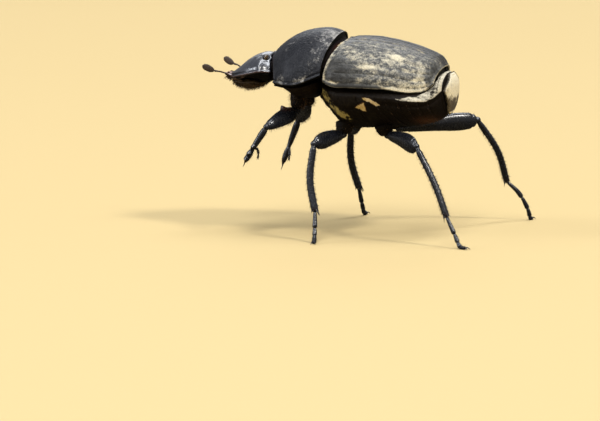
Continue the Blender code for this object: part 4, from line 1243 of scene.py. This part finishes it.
def legs():
    for tag, side in SIDES:
        shin, _ = leg(
            "fore", tag, FORE[tag], (0.54, 420),
            (0.56, (-0.55, 0.1 * side, 0.8), FEMUR_FORE, 0.22, 0.7),
            (160, (pi,), 0.16, (-0.3, 0, -0.6)),
            dict(start=0.20, end=0.18, edge=(-0.35, side, -0.2), bow=0.10,
                 teeth=(0.50, 0.68, 0.86)),
            (160, (pi, pi * 0.6, -pi * 0.6), 0.12, (-0.2, 0, -0.8)))
        root = shin.centre(1 - FORE_FOOT_UP / shin.length())
        tarsus(f"fore_tarsus_{tag}", root + np.multiply(FORE_FOOT, (1, side, 1)), 0.085,
               (0.26, 0.18, 0.16, 0.16, 0.30), claw=0.14, spread=(1, 0, 0))
        _, foot = leg(
            "mid", tag, np.multiply(MID, (1, side, 1)), (0.62, 60),
            (0.56, (-0.2, 0, 1), FEMUR_MID), (110, (pi, 0), 0.12, (-0.4, 0.5 * side, -0.3)),
            dict(start=0.21, end=0.225, edge=(-1, 0, 0), bow=0.30, spines=9, spurs=2),
            (260, (0, pi), 0.13, (0, 0, -1)))
        tarsus(f"mid_tarsus_{tag}", foot, 0.150, (0.34, 0.17, 0.14, 0.13, 0.22), floor=SOLE)
        _, foot = leg(
            "hind", tag, HIND[tag], (0.62, 60),
            (0.62, (0, 0, 1), FEMUR_HIND), (120, (pi, 0), 0.10, (0.5, 0.5 * side, -0.2)),
            dict(start=0.19, end=0.20, edge=(1, 0, 0.4), bow=0.14 if side < 0 else 0.34,
                 spines=13),
            (360, (pi, pi * 0.9, 0), 0.15, (0.2, 0, -1)))
        tarsus(f"hind_tarsus_{tag}", foot, 0.145, (0.32, 0.19, 0.16, 0.13, 0.20), floor=SOLE)


pronotum()
elytron("left", -1)
elytron("right", 1)
head()
neck()
waist()
mouth()
feelers()
prothorax()
pterothorax()
abdomen()
pygidium()
legs()


# ---- Floor, light and camera ----------------------------------------------------------------

# Direction, distance, size, watts and colour
LAMPS = {"key": ((0.60, -0.29, 0.75), 1.20, (0.22, 0.22), 8.2, (1.0, 0.97, 0.91)),
         "strip": ((0.0, -0.60, 0.80), 0.80, (0.14, 0.42), 2.4, (0.96, 0.98, 1.0)),
         "top": ((0.08, 0.14, 0.98), 0.80, (0.18, 0.85), 4.3, (0.94, 0.96, 1.0)),
         "fill": ((-0.55, -0.80, 0.25), 0.80, (0.60, 0.60), 0.30, (0.90, 0.94, 1.0)),
         "rim": ((-0.80, -0.26, 0.42), 0.80, (0.14, 0.60), 2.6, (0.90, 0.93, 1.0)),
         "back": ((-0.2, 0.85, 0.50), 0.70, (0.40, 0.40), 0.8, (0.92, 0.95, 1.0))}


def stage():
    size = 3.0
    mesh = bpy.data.meshes.new("floor")
    mesh.from_pydata([(-size, -size, 0), (size, -size, 0), (size, size, 0), (-size, size, 0)], [],
                     [(0, 1, 2, 3)])
    f = Nodes(bpy.data.materials.new("pale_floor"))
    tone = f.mix(f.noise(0.004, 2), (0.575, 0.442, 0.216), (0.595, 0.462, 0.232))
    mesh.materials.append(f.shade(Base_Color=tone, Roughness=0.9, Specular_IOR_Level=0.1))
    floor = link("floor", mesh)
    floor.visible_glossy = False       # the underside doesn't mirror the bright floor

    # a pale room, dark below the horizon
    room = Nodes(bpy.data.worlds.new("room"))
    height = room.node("SeparateXYZ", {0: room.node("TexCoord", {})}, out=2)
    rise = room.node("MapRange", {0: height, 1: -0.15, 2: 0.10})
    tone = room.node("MixRGB", {0: rise, 1: (0.16, 0.13, 0.08, 1), 2: (0.90, 0.90, 0.92, 1)})
    bpy.context.scene.world = room.shade("Background", Color=tone, Strength=0.30)

    middle = Vector((0, 0, 0.009))
    for name, (direction, distance, size, watts, colour) in LAMPS.items():
        data = bpy.data.lights.new(name, "AREA")
        data.shape = "ELLIPSE"
        data.size, data.size_y = size
        data.energy, data.color = watts, colour
        lamp = link(name, data)
        lamp.location = middle + Vector(direction).normalized() * distance
        lamp.rotation_euler = (middle - lamp.location).to_track_quat("-Z", "Y").to_euler()


def camera():
    """Level with the beetle and a little above it, seen from its left and slightly behind."""
    azimuth, elevation, distance = radians(14.0), radians(7.5), 0.300
    shown = 0.040              # the frame's width at the beetle
    middle = Vector([(a + b) / 2 for a, b in zip(*cad_box)])
    target = middle - Vector((3.73, 2.12, 5.335)) * MM
    back = Vector((sin(azimuth) * cos(elevation), -cos(azimuth) * cos(elevation), sin(elevation)))
    data = bpy.data.cameras.new("camera")
    data.sensor_width = 36.0
    data.lens = data.sensor_width * distance / shown
    data.clip_start = 0.01
    cam = link("camera", data)
    cam.location = target + back * distance
    cam.rotation_euler = back.to_track_quat("Z", "Y").to_euler()
    bpy.context.scene.camera = cam


stage()
camera()
bpy.context.scene.view_settings.view_transform = "Standard"
